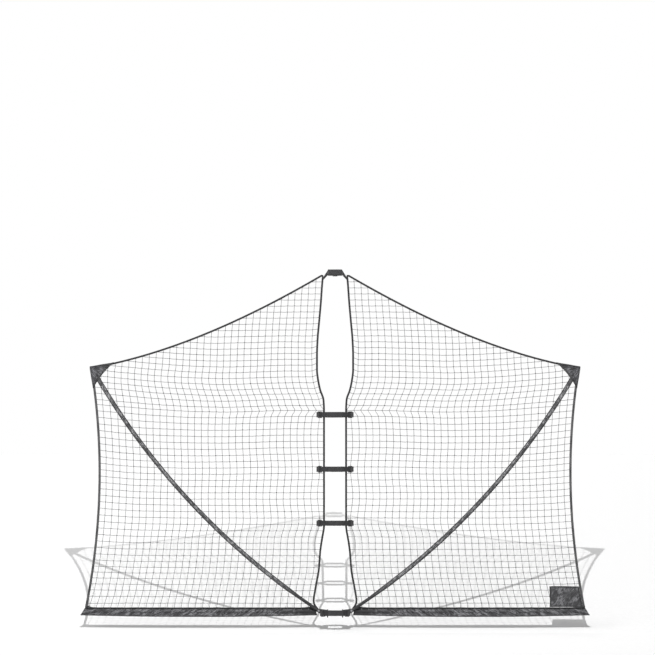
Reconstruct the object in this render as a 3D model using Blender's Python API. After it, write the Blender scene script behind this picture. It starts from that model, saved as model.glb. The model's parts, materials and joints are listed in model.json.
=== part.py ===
"""Basketball return net: two folding net wings strapped to a square mount.

Run it with blender --background --python part.py, or from Blender's text editor.
Metres, +Z up. The origin is on the mount's axis, level with the base strap.
The wings lie in the XZ plane and the front faces -Y. A wing is drawn once, with
x measured outwards from the axis, and a side's sign places it left or right.
"""

import math

import bmesh
import bpy
from mathutils import Matrix, Vector

# Mount and clearances
MOUNT_WIDTH = 0.1016            # side of the square that the saddles and straps clamp
MOUNT_CORNER = 0.006            # bend radius of a strap at the square's corners
SEAT = 0.0003                   # gap between pieces that touch
OVERRUN = 0.004                 # how far a cut runs past the face it opens

# Wing outline, from the mount's axis and from the base strap's level
WING_REACH = 1.801              # axis to the top outer corner
WING_TOP = 2.499                # top inner corner
WING_SHOULDER = 1.808           # top outer corner
WING_FOOT_REACH = 1.833         # axis to the foot of the outer edge
TOP_SAG = 0.0877                # sag of the top edge under its own chord
TOP_SAG_SKEW_SHARE = 0.10       # how far the sag leans towards the outer corner
OUTER_BOW = 0.0790              # how far the outer edge is drawn in
OUTER_BOW_SKEW_SHARE = 0.01     # how far that bow leans towards the top
CINCH_STANDOFF = 0.0307         # edge cord's centre from the mount's side at the straps
EDGE_BULGE = 0.052              # how far the inner edge swings out between its ties
CINCH_FLAT = 0.028              # straight length of the edge above and below a strap
FOOT_EDGE_SHARES = ((0.15, 1.50), (0.33, 1.12), (0.50, 0.74), (0.73, 0.52), (0.90, 0.20))
HEAD_EDGE_SHARES = (
    (0.08, 0.07), (0.155, 0.55), (0.23, 0.85), (0.30, 1.00), (0.41, 1.00),
    (0.52, 0.92), (0.665, 0.675), (0.81, 0.43), (0.90, 0.31), (1.00, 0.15),
)

# Edge cord and net
CORD_RADIUS = 0.0068            # half the cord's width, in the wing's plane
CORD_DEPTH = 0.006              # half its thickness, across that plane
RIM_HALF_WIDTH = 0.0084         # the same as the radius, along the thicker outer edge
CORD_CORNER_RADIUS = 0.009
CORD_SIDES = 8
CORD_LANDING = math.radians(58)  # where the cord meets the round nose of its hub
NET_STRAND = 0.004              # width of a strand in the net's plane
NET_THICKNESS = 0.003
NET_EDGE_GAP = 0.0008           # net to cord
NET_COLUMNS = 9
NET_TIE_CELL = 0.16             # height of the cell that each strap passes through
NET_CELL = 0.165                # aimed height of the other cells
NET_EDGE_STEPS = 3              # runs of the inner border in one cell
NET_SIDE_EASE_SHARE = 1.2       # clearance on a leaning side, as a share of the square one
NET_TOP_EASE_SHARE = 1.25
SOLVE_ROUNDS = 30               # repeats that settle a place found by trial

# Straps
STRAP_LEVELS = (0.662, 1.060, 1.462)
STRAP_NAMES = ("lower", "middle", "upper")
BASE_LEVEL = 0.0
STRAP_WIDTH = 0.038
STRAP_THICKNESS = 0.0018
STRAP_FOLD = 0.007              # sewn end folded back past a mid buckle's bar
BASE_FOLD = 0.014               # the same at a hub's lug
STRAP_TAIL = 0.006              # free end past a buckle
BEND_STEPS = 3
FOLD_STEPS = 6
STRAIGHT_TURN = math.radians(2)  # a corner that turns less than this isn't rounded
STRAP_CROSSING_SHARE = 1.55     # net's inner strand to the back strap's middle, in thicknesses

# Cam buckle, measured outwards from its bar side
BUCKLE_LENGTH = 0.031
BUCKLE_HEIGHT = 0.049
BUCKLE_PLATE = 0.0025
BUCKLE_BAR = 0.005
BUCKLE_SLOT = 0.0055
BUCKLE_CHEEK = 0.004
BUCKLE_CHEEK_RISE = 0.0105
CAM_RADIUS = 0.0042
CAM_TOOTH = 0.0005
CAM_RELIEF = 0.0014             # how much lower the cam is away from its throat
CAM_TEETH = 9
CAM_FROM_EDGE = 0.0095          # cam's axis from the buckle's outer edge
CAM_THROAT = 0.0026             # plate to the cam's teeth
CAM_SIDE_PLAY = 0.0005
PADDLE_LENGTH = 0.019
PADDLE_THICKNESS = 0.0025
PIVOT_RADIUS = 0.0018
PIVOT_BITE = 0.0032             # how far a lever's pivot reaches into its cheek
BUCKLE_BACK = 0.00725           # net's back plane to the plate of a mid buckle

# Hub, one on each side of the mount
SADDLE_THICKNESS = 0.008
SADDLE_HALF_DEPTH = 0.040
SADDLE_TOP = 0.028
SADDLE_BOTTOM = -0.030
SADDLE_CORNER = 0.006
TONGUE_THICKNESS = 0.010
TONGUE_ROOT_TOP = 0.024
TONGUE_ROOT_BOTTOM = -0.024
NOSE_RADIUS = 0.0145            # round end of the tongue about the pin
PIVOT_REACH = 0.120             # mount's axis to the fold pin
PIVOT_RISE = 0.018
PIN_RADIUS = 0.004
PIN_HEAD_RADIUS = 0.0085
PIN_HEAD = 0.0035
RUNNING_CLEARANCE = 0.00035
POST_LENGTH = 0.0165            # boss that carries the base buckle
POST_HALF_HEIGHT = 0.014
POST_INSET = 0.011              # buckle's bar side to the boss
BASE_BUCKLE_REACH = 0.0715      # axis to the base buckle's bar side
BASE_BUCKLE_FRONT = 0.030       # wing plane to the front of the base buckle's plate
LUG_REACH = 0.086               # axis to the middle of the rear lug
LUG_THICKNESS = 0.005
LUG_BAR_DEPTH = 0.030           # wing plane to the middle of the lug's bar

# Arms: the straight bottom arm behind the net, the bowed spar in front of it
ARM_DEPTH = 0.0167              # wing plane to an arm's axis
ROD_RADIUS = 0.0055
FERRULE_RADIUS = 0.0072
FERRULE_LENGTH = 0.080
CAP_RADIUS = 0.0072
CAP_LENGTH = 0.032
CAP_WALL = 0.003
EYE_RADIUS = 0.0135
EYE_GAP = 0.0005                # eye to the tongue's face
SOCKET_RADIUS = 0.0078
SOCKET_LENGTH = 0.085
SOCKET_FLOOR = 0.020            # pin's axis to the floor of the rod's bore
SPAR_BEND = math.radians(25.3)   # how far the spar turns from its socket to its tip
SPAR_TIP_INSET = 0.0294         # spar's tip to the top outer corner, across
SPAR_TIP_DROP = 0.0431          # the same, down
SPAR_STEPS = 12
BOTTOM_ROD_INSET = 0.028        # foot of the outer edge to the bottom arm's end cap
ROD_SIDES = 12
ROUND_SIDES = 16                # eyes, sockets and pins
SMALL_SIDES = 8                 # lever pivots

# Fabric
FABRIC_BORE = 0.0084            # channel for a rod and its socket
FABRIC_WALL = 0.0016
FABRIC_EDGE = 0.003             # thickness of the flat hem
SLEEVE_HALF_WIDTH = 0.0145
SLEEVE_START = 0.034            # pin's axis to the sleeve's foot, along the spar
SLEEVE_TUCK = 0.022             # how far the sleeve runs on inside its corner pocket
BAND_ABOVE = 0.0265             # arm's axis to the band's top edge
BAND_BELOW = 0.0325             # arm's axis to the band's bottom edge at its ends
BAND_SAG = 0.012                # how far the bottom edge hangs lower in the middle
BAND_START = 0.020              # pin's axis to the band, at its bottom edge
BAND_START_SLANT = 0.016
BAND_TOP_INSET = 0.011          # foot of the outer edge to the band's upper corner
BAND_TIP_OVERHANG = 0.043       # how far the band's lower corner reaches past that foot
BAND_STEPS = 10
BAND_SHOULDER_SHARES = ((1.05, 0.45), (0.62, 0.85), (0.0, 1.0), (-0.62, 0.85), (-1.05, 0.45))
CHANNEL_ANGLES = (0, 30, 60, 90, 120, 150, 180, 205, 235, 270, 305, 335)
POCKET_TOP_LENGTH = 0.164
POCKET_SIDE_LENGTH = 0.148
POCKET_WALL = 0.0016
POCKET_ROOM = 0.0016            # cavity to the cord inside it
POCKET_STEPS = 4
PATCH_INSET = 0.253             # foot of the outer edge to the patch's inner side
PATCH_HEIGHT = 0.1532
PATCH_STEPS = 3
PATCH_THICKNESS = 0.0027

# Top strap and the tabs that hold the top inner corners
TOP_LEVEL = 2.515
TAB_THICKNESS = 0.0024
TAB_DROP = 0.013                # how far a tab slants down towards its corner
TAB_END_HEIGHT = 0.024
GLIDE_LENGTH = 0.034
GLIDE_HEIGHT = 0.047
GLIDE_THICKNESS = 0.003
GLIDE_SLOT = 0.0065
GLIDE_BAR = 0.005

MOUNT_HALF = MOUNT_WIDTH / 2
PIVOT = Vector((PIVOT_REACH, PIVOT_RISE))
CINCH_REACH = MOUNT_HALF + CINCH_STANDOFF
BAND_TOP = PIVOT_RISE + BAND_ABOVE
STRAP_OFFSET = SEAT + STRAP_THICKNESS / 2
FABRIC_HALF_DEPTH = FABRIC_BORE + FABRIC_WALL
SIDES = (("left", -1), ("right", 1))


# Materials

def make_material(name, colour, roughness, metallic=0.0):
    """Return a Principled material; the colour is linear RGB."""
    material = bpy.data.materials.new(name)
    material.use_nodes = True
    shader = material.node_tree.nodes["Principled BSDF"]
    shader.inputs["Base Color"].default_value = (*colour, 1.0)
    shader.inputs["Roughness"].default_value = roughness
    shader.inputs["Metallic"].default_value = metallic
    material.diffuse_color = (*colour, 1.0)
    return material


# Objects from meshes

def finish_mesh(name, bm):
    """Turn a closed bmesh into mesh data with outward faces and smooth round sides."""
    bmesh.ops.recalc_face_normals(bm, faces=bm.faces)
    mesh = bpy.data.meshes.new(name)
    bm.to_mesh(mesh)
    bm.free()
    mesh.shade_smooth()
    mesh.set_sharp_from_angle(angle=math.radians(35))
    return mesh


def add_object(name, mesh, material, location=(0.0, 0.0, 0.0), parent=None):
    """Place a mesh as a named object with its own material."""
    mesh.materials.clear()
    own = material.copy()
    own.name = name
    mesh.materials.append(own)
    placed = bpy.data.objects.new(name, mesh)
    placed.location = location
    bpy.context.collection.objects.link(placed)
    if parent is not None:
        placed.parent = parent
        placed.matrix_parent_inverse = parent.matrix_world.inverted()
    return placed


def joint_empty(name, location):
    """Add an empty on a joint's axis, for the pieces that turn about it."""
    empty = bpy.data.objects.new(name, None)
    empty.location = location
    bpy.context.collection.objects.link(empty)
    bpy.context.view_layer.update()
    return empty


def carved(name, base, steps):
    """Return base joined with, or cut by, other bmeshes; steps holds (operation, bmesh)."""
    target = bpy.data.objects.new(name, finish_mesh(name, base))
    bpy.context.collection.objects.link(target)
    tools = []
    for number, (operation, shape) in enumerate(steps):
        tool = bpy.data.objects.new(f"{name}_tool_{number}", finish_mesh(name, shape))
        bpy.context.collection.objects.link(tool)
        tools.append(tool)
        modifier = target.modifiers.new(operation.lower(), "BOOLEAN")
        modifier.operation = operation
        modifier.solver = "EXACT"
        modifier.object = tool
    depsgraph = bpy.context.evaluated_depsgraph_get()
    mesh = bpy.data.meshes.new_from_object(target.evaluated_get(depsgraph))
    for item in (target, *tools):
        bpy.data.objects.remove(item)
    mesh.shade_smooth()
    mesh.set_sharp_from_angle(angle=math.radians(35))
    return mesh


# Shapes

def circle(radius, sides):
    """Return a ring of points about the origin."""
    return [
        (radius * math.cos(math.tau * k / sides), radius * math.sin(math.tau * k / sides))
        for k in range(sides)
    ]


def oval(half_width, half_depth, sides):
    """Return an oval ring of points about the origin."""
    return [(a * half_width, d * half_depth) for a, d in circle(1, sides)]


def box(low, high):
    """Return a bmesh box between two corners."""
    bm = bmesh.new()
    bmesh.ops.create_cube(bm, size=1.0)
    low, high = Vector(low), Vector(high)
    low, high = (
        Vector(map(min, low, high)),
        Vector(map(max, low, high)),
    )
    bmesh.ops.transform(
        bm, matrix=Matrix.Translation((low + high) / 2) @ Matrix.Diagonal((*(high - low), 1.0)),
        verts=bm.verts,
    )
    return bm


def cylinder(start, end, radius, sides=ROUND_SIDES):
    """Return a bmesh cylinder from one point to another."""
    start, end = Vector(start), Vector(end)
    bm = bmesh.new()
    bmesh.ops.create_cone(
        bm, cap_ends=True, segments=sides, radius1=radius, radius2=radius, depth=(end - start).length,
    )
    turn = (end - start).to_track_quat("Z", "Y").to_matrix().to_4x4()
    bmesh.ops.transform(bm, matrix=Matrix.Translation((start + end) / 2) @ turn, verts=bm.verts)
    return bm


def turned(profile, centre, sides=ROUND_SIDES):
    """Revolve (radius, y) pairs about the Y axis through centre; the ends lie on the axis."""
    bm = bmesh.new()
    rings = []
    for radius, y in profile:
        points = [(0.0, 0.0)] if radius == 0 else circle(radius, sides)
        rings.append([bm.verts.new((centre[0] + a, y, centre[1] + b)) for a, b in points])
    for ring, following in zip(rings, rings[1:]):
        join_rings(bm, ring, following)
    return bm


def join_rings(bm, ring, following):
    """Bridge two rings of vertices, either of which may be a single pole."""
    count = max(len(ring), len(following))
    for k in range(count):
        corners = []
        for vertex in (
            ring[k % len(ring)], ring[(k + 1) % len(ring)],
            following[(k + 1) % len(following)], following[k % len(following)],
        ):
            if vertex not in corners:
                corners.append(vertex)
        bm.faces.new(corners)


def prism(outline, first, second):
    """Extrude an outline between two lift functions, each of which turns a point into 3-D."""
    bm = bmesh.new()
    near = [bm.verts.new(first(point)) for point in outline]
    far = [bm.verts.new(second(point)) for point in outline]
    bm.faces.new(near)
    bm.faces.new(far)
    join_rings(bm, near, far)
    return bm


def wing_plate(outline, sign, front, back):
    """Extrude an outline in a wing's plane from y = front to y = back."""
    return prism(
        outline,
        lambda point: (sign * point[0], front, point[1]),
        lambda point: (sign * point[0], back, point[1]),
    )


def plan_plate(outline, bottom, top):
    """Extrude an outline in plan from one height to another."""
    return prism(
        outline, lambda point: (point[0], point[1], bottom), lambda point: (point[0], point[1], top),
    )


# Paths in a plane

def perpendicular(direction):
    """Return a direction turned a quarter turn to its left."""
    return Vector((-direction.y, direction.x))


def mitred_normals(path):
    """Return the left normal at each point of a path, lengthened where the path bends."""
    runs = [(b - a).normalized() for a, b in zip(path, path[1:])]
    normals = [perpendicular(runs[0])]
    for before, after in zip(runs, runs[1:]):
        normal = (perpendicular(before) + perpendicular(after)).normalized()
        normals.append(normal / normal.dot(perpendicular(before)))
    normals.append(perpendicular(runs[-1]))
    return normals


def rounded(points, radius, steps):
    """Round every inner corner of a path with an arc."""
    points = [Vector(point) for point in points]
    path = [points[0]]
    for before, corner, after in zip(points, points[1:], points[2:]):
        arrive = (corner - before).normalized()
        leave = (after - corner).normalized()
        turn = arrive.angle_signed(leave)
        if abs(turn) < STRAIGHT_TURN:
            path.append(corner)
            continue
        reach = radius * math.tan(abs(turn) / 2)
        start = corner - arrive * reach
        side = 1 if arrive.x * leave.y - arrive.y * leave.x > 0 else -1
        centre = start + perpendicular(arrive) * radius * side
        for k in range(steps + 1):
            angle = side * abs(turn) * k / steps
            path.append(centre + Matrix.Rotation(angle, 2) @ (start - centre))
    path.append(points[-1])
    return path


def tangent_wrap(start, centre, radius, side, fold, steps):
    """Run from start round a bar and back; side is 1 to pass the bar on its right."""
    start, centre = Vector(start), Vector(centre)
    line = centre - start
    lean = math.asin(radius / line.length)
    reach = math.sqrt(line.length ** 2 - radius ** 2)
    touch = start + Matrix.Rotation(side * lean, 2) @ (line / line.length) * reach
    turn = math.pi + 2 * lean
    path = [
        centre + Matrix.Rotation(-side * turn * k / steps, 2) @ (touch - centre)
        for k in range(steps + 1)
    ]
    leave = Matrix.Rotation(-side * turn, 2) @ (touch - start).normalized()
    return path + [path[-1] + leave * fold]


def hermite(knots, value):
    """Read a smooth curve through (place, height) knots that never overshoots them."""
    places = [place for place, _ in knots]
    heights = [height for _, height in knots]
    if value <= places[0]:
        return heights[0]
    if value >= places[-1]:
        return heights[-1]
    index = max(k for k in range(len(knots) - 1) if places[k] <= value)
    slopes = [
        (heights[k + 1] - heights[k]) / (places[k + 1] - places[k]) for k in range(len(knots) - 1)
    ]

    def slope_at(k):
        if k == 0 or k == len(slopes):
            return slopes[min(k, len(slopes) - 1)]
        before, after = slopes[k - 1], slopes[k]
        return 0.0 if before * after <= 0 else 2 * before * after / (before + after)

    span = places[index + 1] - places[index]
    t = (value - places[index]) / span
    return (
        heights[index] * (1 + 2 * t) * (1 - t) ** 2
        + slope_at(index) * span * t * (1 - t) ** 2
        + heights[index + 1] * t * t * (3 - 2 * t)
        + slope_at(index + 1) * span * t * t * (t - 1)
    )


# Sweeps in a wing's plane

def sweep(path, profiles, sign, depth, bore=None):
    """Sweep closed (across, depth) profiles along a path; bore adds a channel through it."""
    bm = bmesh.new()
    normals = mitred_normals(path)

    def ring_at(index, profile):
        point, normal = path[index], normals[index]
        return [
            bm.verts.new((sign * (point.x + normal.x * a), depth + d, point.y + normal.y * a))
            for a, d in profile
        ]

    outer = [ring_at(index, profile) for index, profile in enumerate(profiles)]
    for ring, following in zip(outer, outer[1:]):
        join_rings(bm, ring, following)
    if bore is None:
        bm.faces.new(outer[0])
        bm.faces.new(outer[-1])
        return bm
    inner = [ring_at(index, profile) for index, profile in enumerate(bore)]
    for ring, following in zip(inner, inner[1:]):
        join_rings(bm, ring, following)
    join_rings(bm, outer[0], inner[0])
    if len(inner) == len(outer):
        join_rings(bm, outer[-1], inner[-1])
    else:
        bm.faces.new(inner[-1])
        bm.faces.new(outer[-1])
    return bm


def fabric_profile(above, below, bulge):
    """Return a fabric channel's ring: flat towards the net, round the other way."""
    rim = (-FABRIC_HALF_DEPTH + FABRIC_EDGE) * bulge
    flat = -FABRIC_HALF_DEPTH * bulge
    shoulder = [
        (along * FABRIC_HALF_DEPTH, out * FABRIC_HALF_DEPTH * bulge)
        for along, out in BAND_SHOULDER_SHARES
    ]
    return [
        (above, rim), *shoulder, (-below, rim), (-below, flat),
        (-FABRIC_BORE, flat), (0.0, flat), (FABRIC_BORE, flat), (above, flat),
    ]


def channel_profile(bulge):
    """Return the ring of a fabric channel's bore, point for point with its outside."""
    return [
        (FABRIC_BORE * math.cos(math.radians(a)), FABRIC_BORE * math.sin(math.radians(a)) * bulge)
        for a in CHANNEL_ANGLES
    ]


def webbing(plan, level, width=STRAP_WIDTH, thickness=STRAP_THICKNESS, closed=False):
    """Make upright webbing along a path in plan."""
    bm = bmesh.new()
    path = plan + [plan[0], plan[1]] if closed else plan
    normals = mitred_normals(path)
    if closed:
        normals[0] = normals[-2]
        path, normals = path[:-2], normals[:-2]
    rings = []
    for point, normal in zip(path, normals):
        inside, outside = point - normal * thickness / 2, point + normal * thickness / 2
        low, high = level - width / 2, level + width / 2
        rings.append([
            bm.verts.new((*inside, low)), bm.verts.new((*outside, low)),
            bm.verts.new((*outside, high)), bm.verts.new((*inside, high)),
        ])
    for ring, following in zip(rings, rings[1:]):
        join_rings(bm, ring, following)
    if closed:
        join_rings(bm, rings[-1], rings[0])
    else:
        bm.faces.new(rings[0])
        bm.faces.new(rings[-1])
    return bm


# Wing outline

def skewed_bow(share, depth, skew_share):
    """Return a parabola's depth at a share of its chord, leaning towards one end."""
    return 4 * depth * share * (1 - share) * (1 + skew_share * (2 * share - 1))


def inner_knots():
    """Return the inner edge as knots of height and distance from the axis."""
    lowest = STRAP_LEVELS[0] - CINCH_FLAT
    highest = STRAP_LEVELS[-1] + CINCH_FLAT
    foot = [(share * lowest, CINCH_REACH + out * EDGE_BULGE) for share, out in FOOT_EDGE_SHARES]
    head = [
        (highest + share * (WING_TOP - highest), CINCH_REACH + out * EDGE_BULGE)
        for share, out in HEAD_EDGE_SHARES
    ]
    return [*foot, (lowest, CINCH_REACH), (highest, CINCH_REACH), *head]


INNER_KNOTS = inner_knots()
TOP_CORNER = Vector((INNER_KNOTS[-1][1], WING_TOP))
OUTER_CORNER = Vector((WING_REACH, WING_SHOULDER))
OUTER_FOOT = Vector((WING_FOOT_REACH, BAND_TOP))


def inner_edge(height):
    """Return the inner edge's distance from the axis at a height."""
    return hermite(INNER_KNOTS, height)


def top_edge(reach):
    """Return the top edge's height at a distance from the axis."""
    share = (reach - TOP_CORNER.x) / (OUTER_CORNER.x - TOP_CORNER.x)
    chord = TOP_CORNER.y + share * (OUTER_CORNER.y - TOP_CORNER.y)
    return chord - skewed_bow(share, TOP_SAG, TOP_SAG_SKEW_SHARE)


def outer_edge(height):
    """Return the outer edge's distance from the axis at a height."""
    share = (OUTER_CORNER.y - height) / (OUTER_CORNER.y - OUTER_FOOT.y)
    chord = OUTER_CORNER.x + share * (OUTER_FOOT.x - OUTER_CORNER.x)
    return chord - skewed_bow(share, OUTER_BOW, -OUTER_BOW_SKEW_SHARE)


def evenly(start, end, step):
    """Return values from start to end in equal steps near the given one."""
    count = max(1, round(abs(end - start) / step))
    return [start + (end - start) * k / count for k in range(count + 1)]


# Net

def net_rows():
    """Return the heights of the net's rows at its inner edge, each strap in mid cell."""
    reach = CORD_RADIUS + NET_EDGE_GAP
    top = TOP_CORNER.y - CORD_CORNER_RADIUS
    for _ in range(SOLVE_ROUNDS):
        top = top_edge(inner_edge(top) + reach) - reach / math.cos(top_slope(TOP_CORNER.x))
    top -= CORD_CORNER_RADIUS / 2
    rows = [BAND_TOP + NET_EDGE_GAP + CORD_RADIUS]
    for level in STRAP_LEVELS:
        rows += evenly(rows[-1], level - NET_TIE_CELL / 2, NET_CELL)[1:]
        rows.append(level + NET_TIE_CELL / 2)
    return rows + evenly(rows[-1], top, NET_CELL)[1:]


def top_slope(reach):
    """Return the top edge's angle to the horizontal at a distance from the axis."""
    step = CORD_RADIUS
    return math.atan2(top_edge(reach) - top_edge(reach + step), step)


def net_point(u, v, rows):
    """Map shares across and up the net to its plane, between its four edges."""
    clear = CORD_RADIUS + NET_EDGE_GAP
    rim_clear = RIM_HALF_WIDTH + NET_EDGE_GAP
    low, high = rows[0], rows[-1]

    def inner(share):
        z = low + (high - low) * share
        return Vector((inner_edge(z) + clear, z))

    outer_top = OUTER_CORNER.y - rim_clear * 2

    def outer(share):
        z = low + (outer_top - low) * share
        return Vector((outer_edge(z) - rim_clear * NET_SIDE_EASE_SHARE, z))

    def lowered(x):
        return top_edge(x) - clear * NET_TOP_EASE_SHARE / math.cos(top_slope(x))

    def top(share):
        first, last = inner(1), outer(1)
        x = first.x + (last.x - first.x) * share
        start = first.y - lowered(first.x)
        ending = last.y - lowered(last.x)
        return Vector((x, lowered(x) + start * (1 - share) + ending * share))

    bottom_left, bottom_right = inner(0), outer(0)
    bottom = bottom_left.lerp(bottom_right, u)
    across = inner(v).lerp(outer(v), u)
    upward = bottom.lerp(top(u), v)
    corners = bottom.lerp(inner(1).lerp(outer(1), u), v)
    return across + upward - corners


def edge_cord_route():
    """Return the cord's centreline, with a point beside each line of the net, and its rings."""
    rows = net_rows()
    shares = [(row - rows[0]) / (rows[-1] - rows[0]) for row in rows]
    nose = PIVOT + Matrix.Rotation(CORD_LANDING, 2) @ Vector((NOSE_RADIUS + SEAT * 2, 0))
    lowest = INNER_KNOTS[0][0]
    heel = Vector((inner_edge(lowest) - CORD_RADIUS / 2, (lowest + nose.y) / 2))
    heights = [
        low + (high - low) * k / NET_EDGE_STEPS
        for low, high in zip(rows, rows[1:]) for k in range(NET_EDGE_STEPS)
    ]
    inner = [Vector((inner_edge(z), z)) for z in heights if z > lowest - CORD_RADIUS]
    across = [net_point(k / NET_COLUMNS, 1, rows).x for k in range(1, NET_COLUMNS)]
    top = [Vector((x, top_edge(x))) for x in across]
    down = [net_point(1, share, rows).y for share in reversed(shares[:-1])]
    foot = BAND_TOP + SEAT + CORD_RADIUS / 4
    outer = [Vector((outer_edge(z), z)) for z in (*down[:-1], foot)]
    corner = rounded([inner[-1], TOP_CORNER, top[0]], CORD_CORNER_RADIUS, BEND_STEPS)[1:-1]
    apex = rounded([top[-1], OUTER_CORNER, outer[0]], CORD_CORNER_RADIUS, BEND_STEPS)[1:-1]
    thin = [nose, heel, *inner, *corner, *top]
    thick = [*apex, *outer]
    rings = [oval(CORD_RADIUS, CORD_DEPTH, CORD_SIDES)] * len(thin)
    rings += [oval(RIM_HALF_WIDTH, CORD_DEPTH, CORD_SIDES)] * len(thick)
    return thin + thick, rings


def net_mesh(sign):
    """Build the net as one flat lattice, its cells open and its border closed."""
    rows = net_rows()
    span = rows[-1] - rows[0]
    width = NET_STRAND / (WING_REACH - CINCH_REACH)
    height = NET_STRAND / span
    lines_u = [k / NET_COLUMNS for k in range(NET_COLUMNS + 1)]
    lines_v = [(row - rows[0]) / span for row in rows]

    def bars(lines, size):
        edges = []
        for k, line in enumerate(lines):
            low = line if k == 0 else line - size / 2
            low = line - size if k == len(lines) - 1 else low
            edges.append((low, low + size))
        return edges

    bars_u, bars_v = bars(lines_u, width), bars(lines_v, height)
    bm = bmesh.new()
    made = {}

    def corner(u, v, back):
        key = (round(u, 7), round(v, 7), back)
        if key not in made:
            point = net_point(u, v, rows)
            y = NET_THICKNESS / 2 * (1 if back else -1)
            made[key] = bm.verts.new((sign * point.x, y, point.y))
        return made[key]

    def patch(low_u, high_u, low_v, high_v):
        for back in (False, True):
            bm.faces.new([
                corner(low_u, low_v, back), corner(high_u, low_v, back),
                corner(high_u, high_v, back), corner(low_u, high_v, back),
            ])

    for index_u, (low_u, high_u) in enumerate(bars_u):
        for low_v, high_v in bars_v:
            patch(low_u, high_u, low_v, high_v)
        for (_, low_v), (high_v, _) in zip(bars_v, bars_v[1:]):
            steps = NET_EDGE_STEPS if index_u == 0 else 1
            marks = [low_v + (high_v - low_v) * k / steps for k in range(steps + 1)]
            for start, end in zip(marks, marks[1:]):
                patch(low_u, high_u, start, end)
    for low_v, high_v in bars_v:
        for (_, low_u), (high_u, _) in zip(bars_u, bars_u[1:]):
            patch(low_u, high_u, low_v, high_v)
    for edge in [edge for edge in bm.edges if edge.is_boundary]:
        first, second = edge.verts
        if first.co.y > 0:
            continue
        keys = {vertex: key for key, vertex in made.items() if vertex in (first, second)}
        far = [made[(*keys[vertex][:2], True)] for vertex in (second, first)]
        bm.faces.new([first, second, *far])
    return bm


# Arms

def spar_start():
    """Return the spar's direction at its hub, from which one even bow reaches its tip."""
    tip = OUTER_CORNER - Vector((SPAR_TIP_INSET, SPAR_TIP_DROP))
    start = (tip - PIVOT).normalized()
    for _ in range(SOLVE_ROUNDS):
        chord = tip - (PIVOT + start * SOCKET_LENGTH)
        start = Matrix.Rotation(-SPAR_BEND / 2, 2) @ chord.normalized()
    return start, chord.length / (2 * math.sin(SPAR_BEND / 2))


def spar_axis():
    """Return the spar's axis: straight in its socket, then one long bow."""
    start, radius = spar_start()
    mouth = PIVOT + start * SOCKET_LENGTH
    centre = mouth + perpendicular(start) * radius
    bow = [
        centre + Matrix.Rotation(SPAR_BEND * k / SPAR_STEPS, 2) @ (mouth - centre)
        for k in range(SPAR_STEPS + 1)
    ]
    return [PIVOT.copy(), *bow]


SPAR_AXIS = spar_axis()
BOTTOM_ROD_END = WING_FOOT_REACH - BOTTOM_ROD_INSET
ARM_AXIS = [PIVOT.copy(), Vector((BOTTOM_ROD_END, PIVOT.y))]


def axis_length(axis):
    """Return the length of an arm's axis."""
    return sum((b - a).length for a, b in zip(axis, axis[1:]))


def axis_spot(axis, distance):
    """Return the point at a distance along an arm's axis, or past its end."""
    for a, b in zip(axis, axis[1:]):
        length = (b - a).length
        if distance <= length or b is axis[-1]:
            return a + (b - a) * distance / length
        distance -= length


def stretch(axis, start, end):
    """Return the part of an arm's axis between two distances, with its own corners."""
    points = [axis_spot(axis, start)]
    travelled = 0.0
    for a, b in zip(axis, axis[1:-1]):
        travelled += (b - a).length
        if start + SEAT < travelled < end - SEAT:
            points.append(b)
    return [*points, axis_spot(axis, end)]


def rod_solid(axis, start, end, radius, sign, depth):
    """Sweep a plain round rod along a stretch of an arm's axis."""
    path = stretch(axis, start, end)
    return sweep(path, [circle(radius, ROD_SIDES)] * len(path), sign, depth)


def socket_mesh(name, direction, sign, depth):
    """Make an arm's eye with the socket that its rod is pushed into."""
    side = 1 if depth > 0 else -1
    near = side * (TONGUE_THICKNESS / 2 + EYE_GAP)
    far = depth + side * (SOCKET_RADIUS + SEAT)
    centre = (sign * PIVOT.x, PIVOT.y)

    def spot(distance):
        point = PIVOT + direction * distance
        return sign * point.x, depth, point.y

    eye = cylinder((centre[0], near, centre[1]), (centre[0], far, centre[1]), EYE_RADIUS)
    tube = cylinder(spot(0), spot(SOCKET_LENGTH), SOCKET_RADIUS)
    rod_bore = cylinder(spot(SOCKET_FLOOR), spot(SOCKET_LENGTH + OVERRUN), ROD_RADIUS + SEAT)
    pin_bore = cylinder(
        (centre[0], near - side * OVERRUN, centre[1]), (centre[0], far + side * OVERRUN, centre[1]),
        PIN_RADIUS + RUNNING_CLEARANCE,
    )
    steps = [("UNION", tube), ("DIFFERENCE", rod_bore), ("DIFFERENCE", pin_bore)]
    return carved(name, eye, steps)


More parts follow.
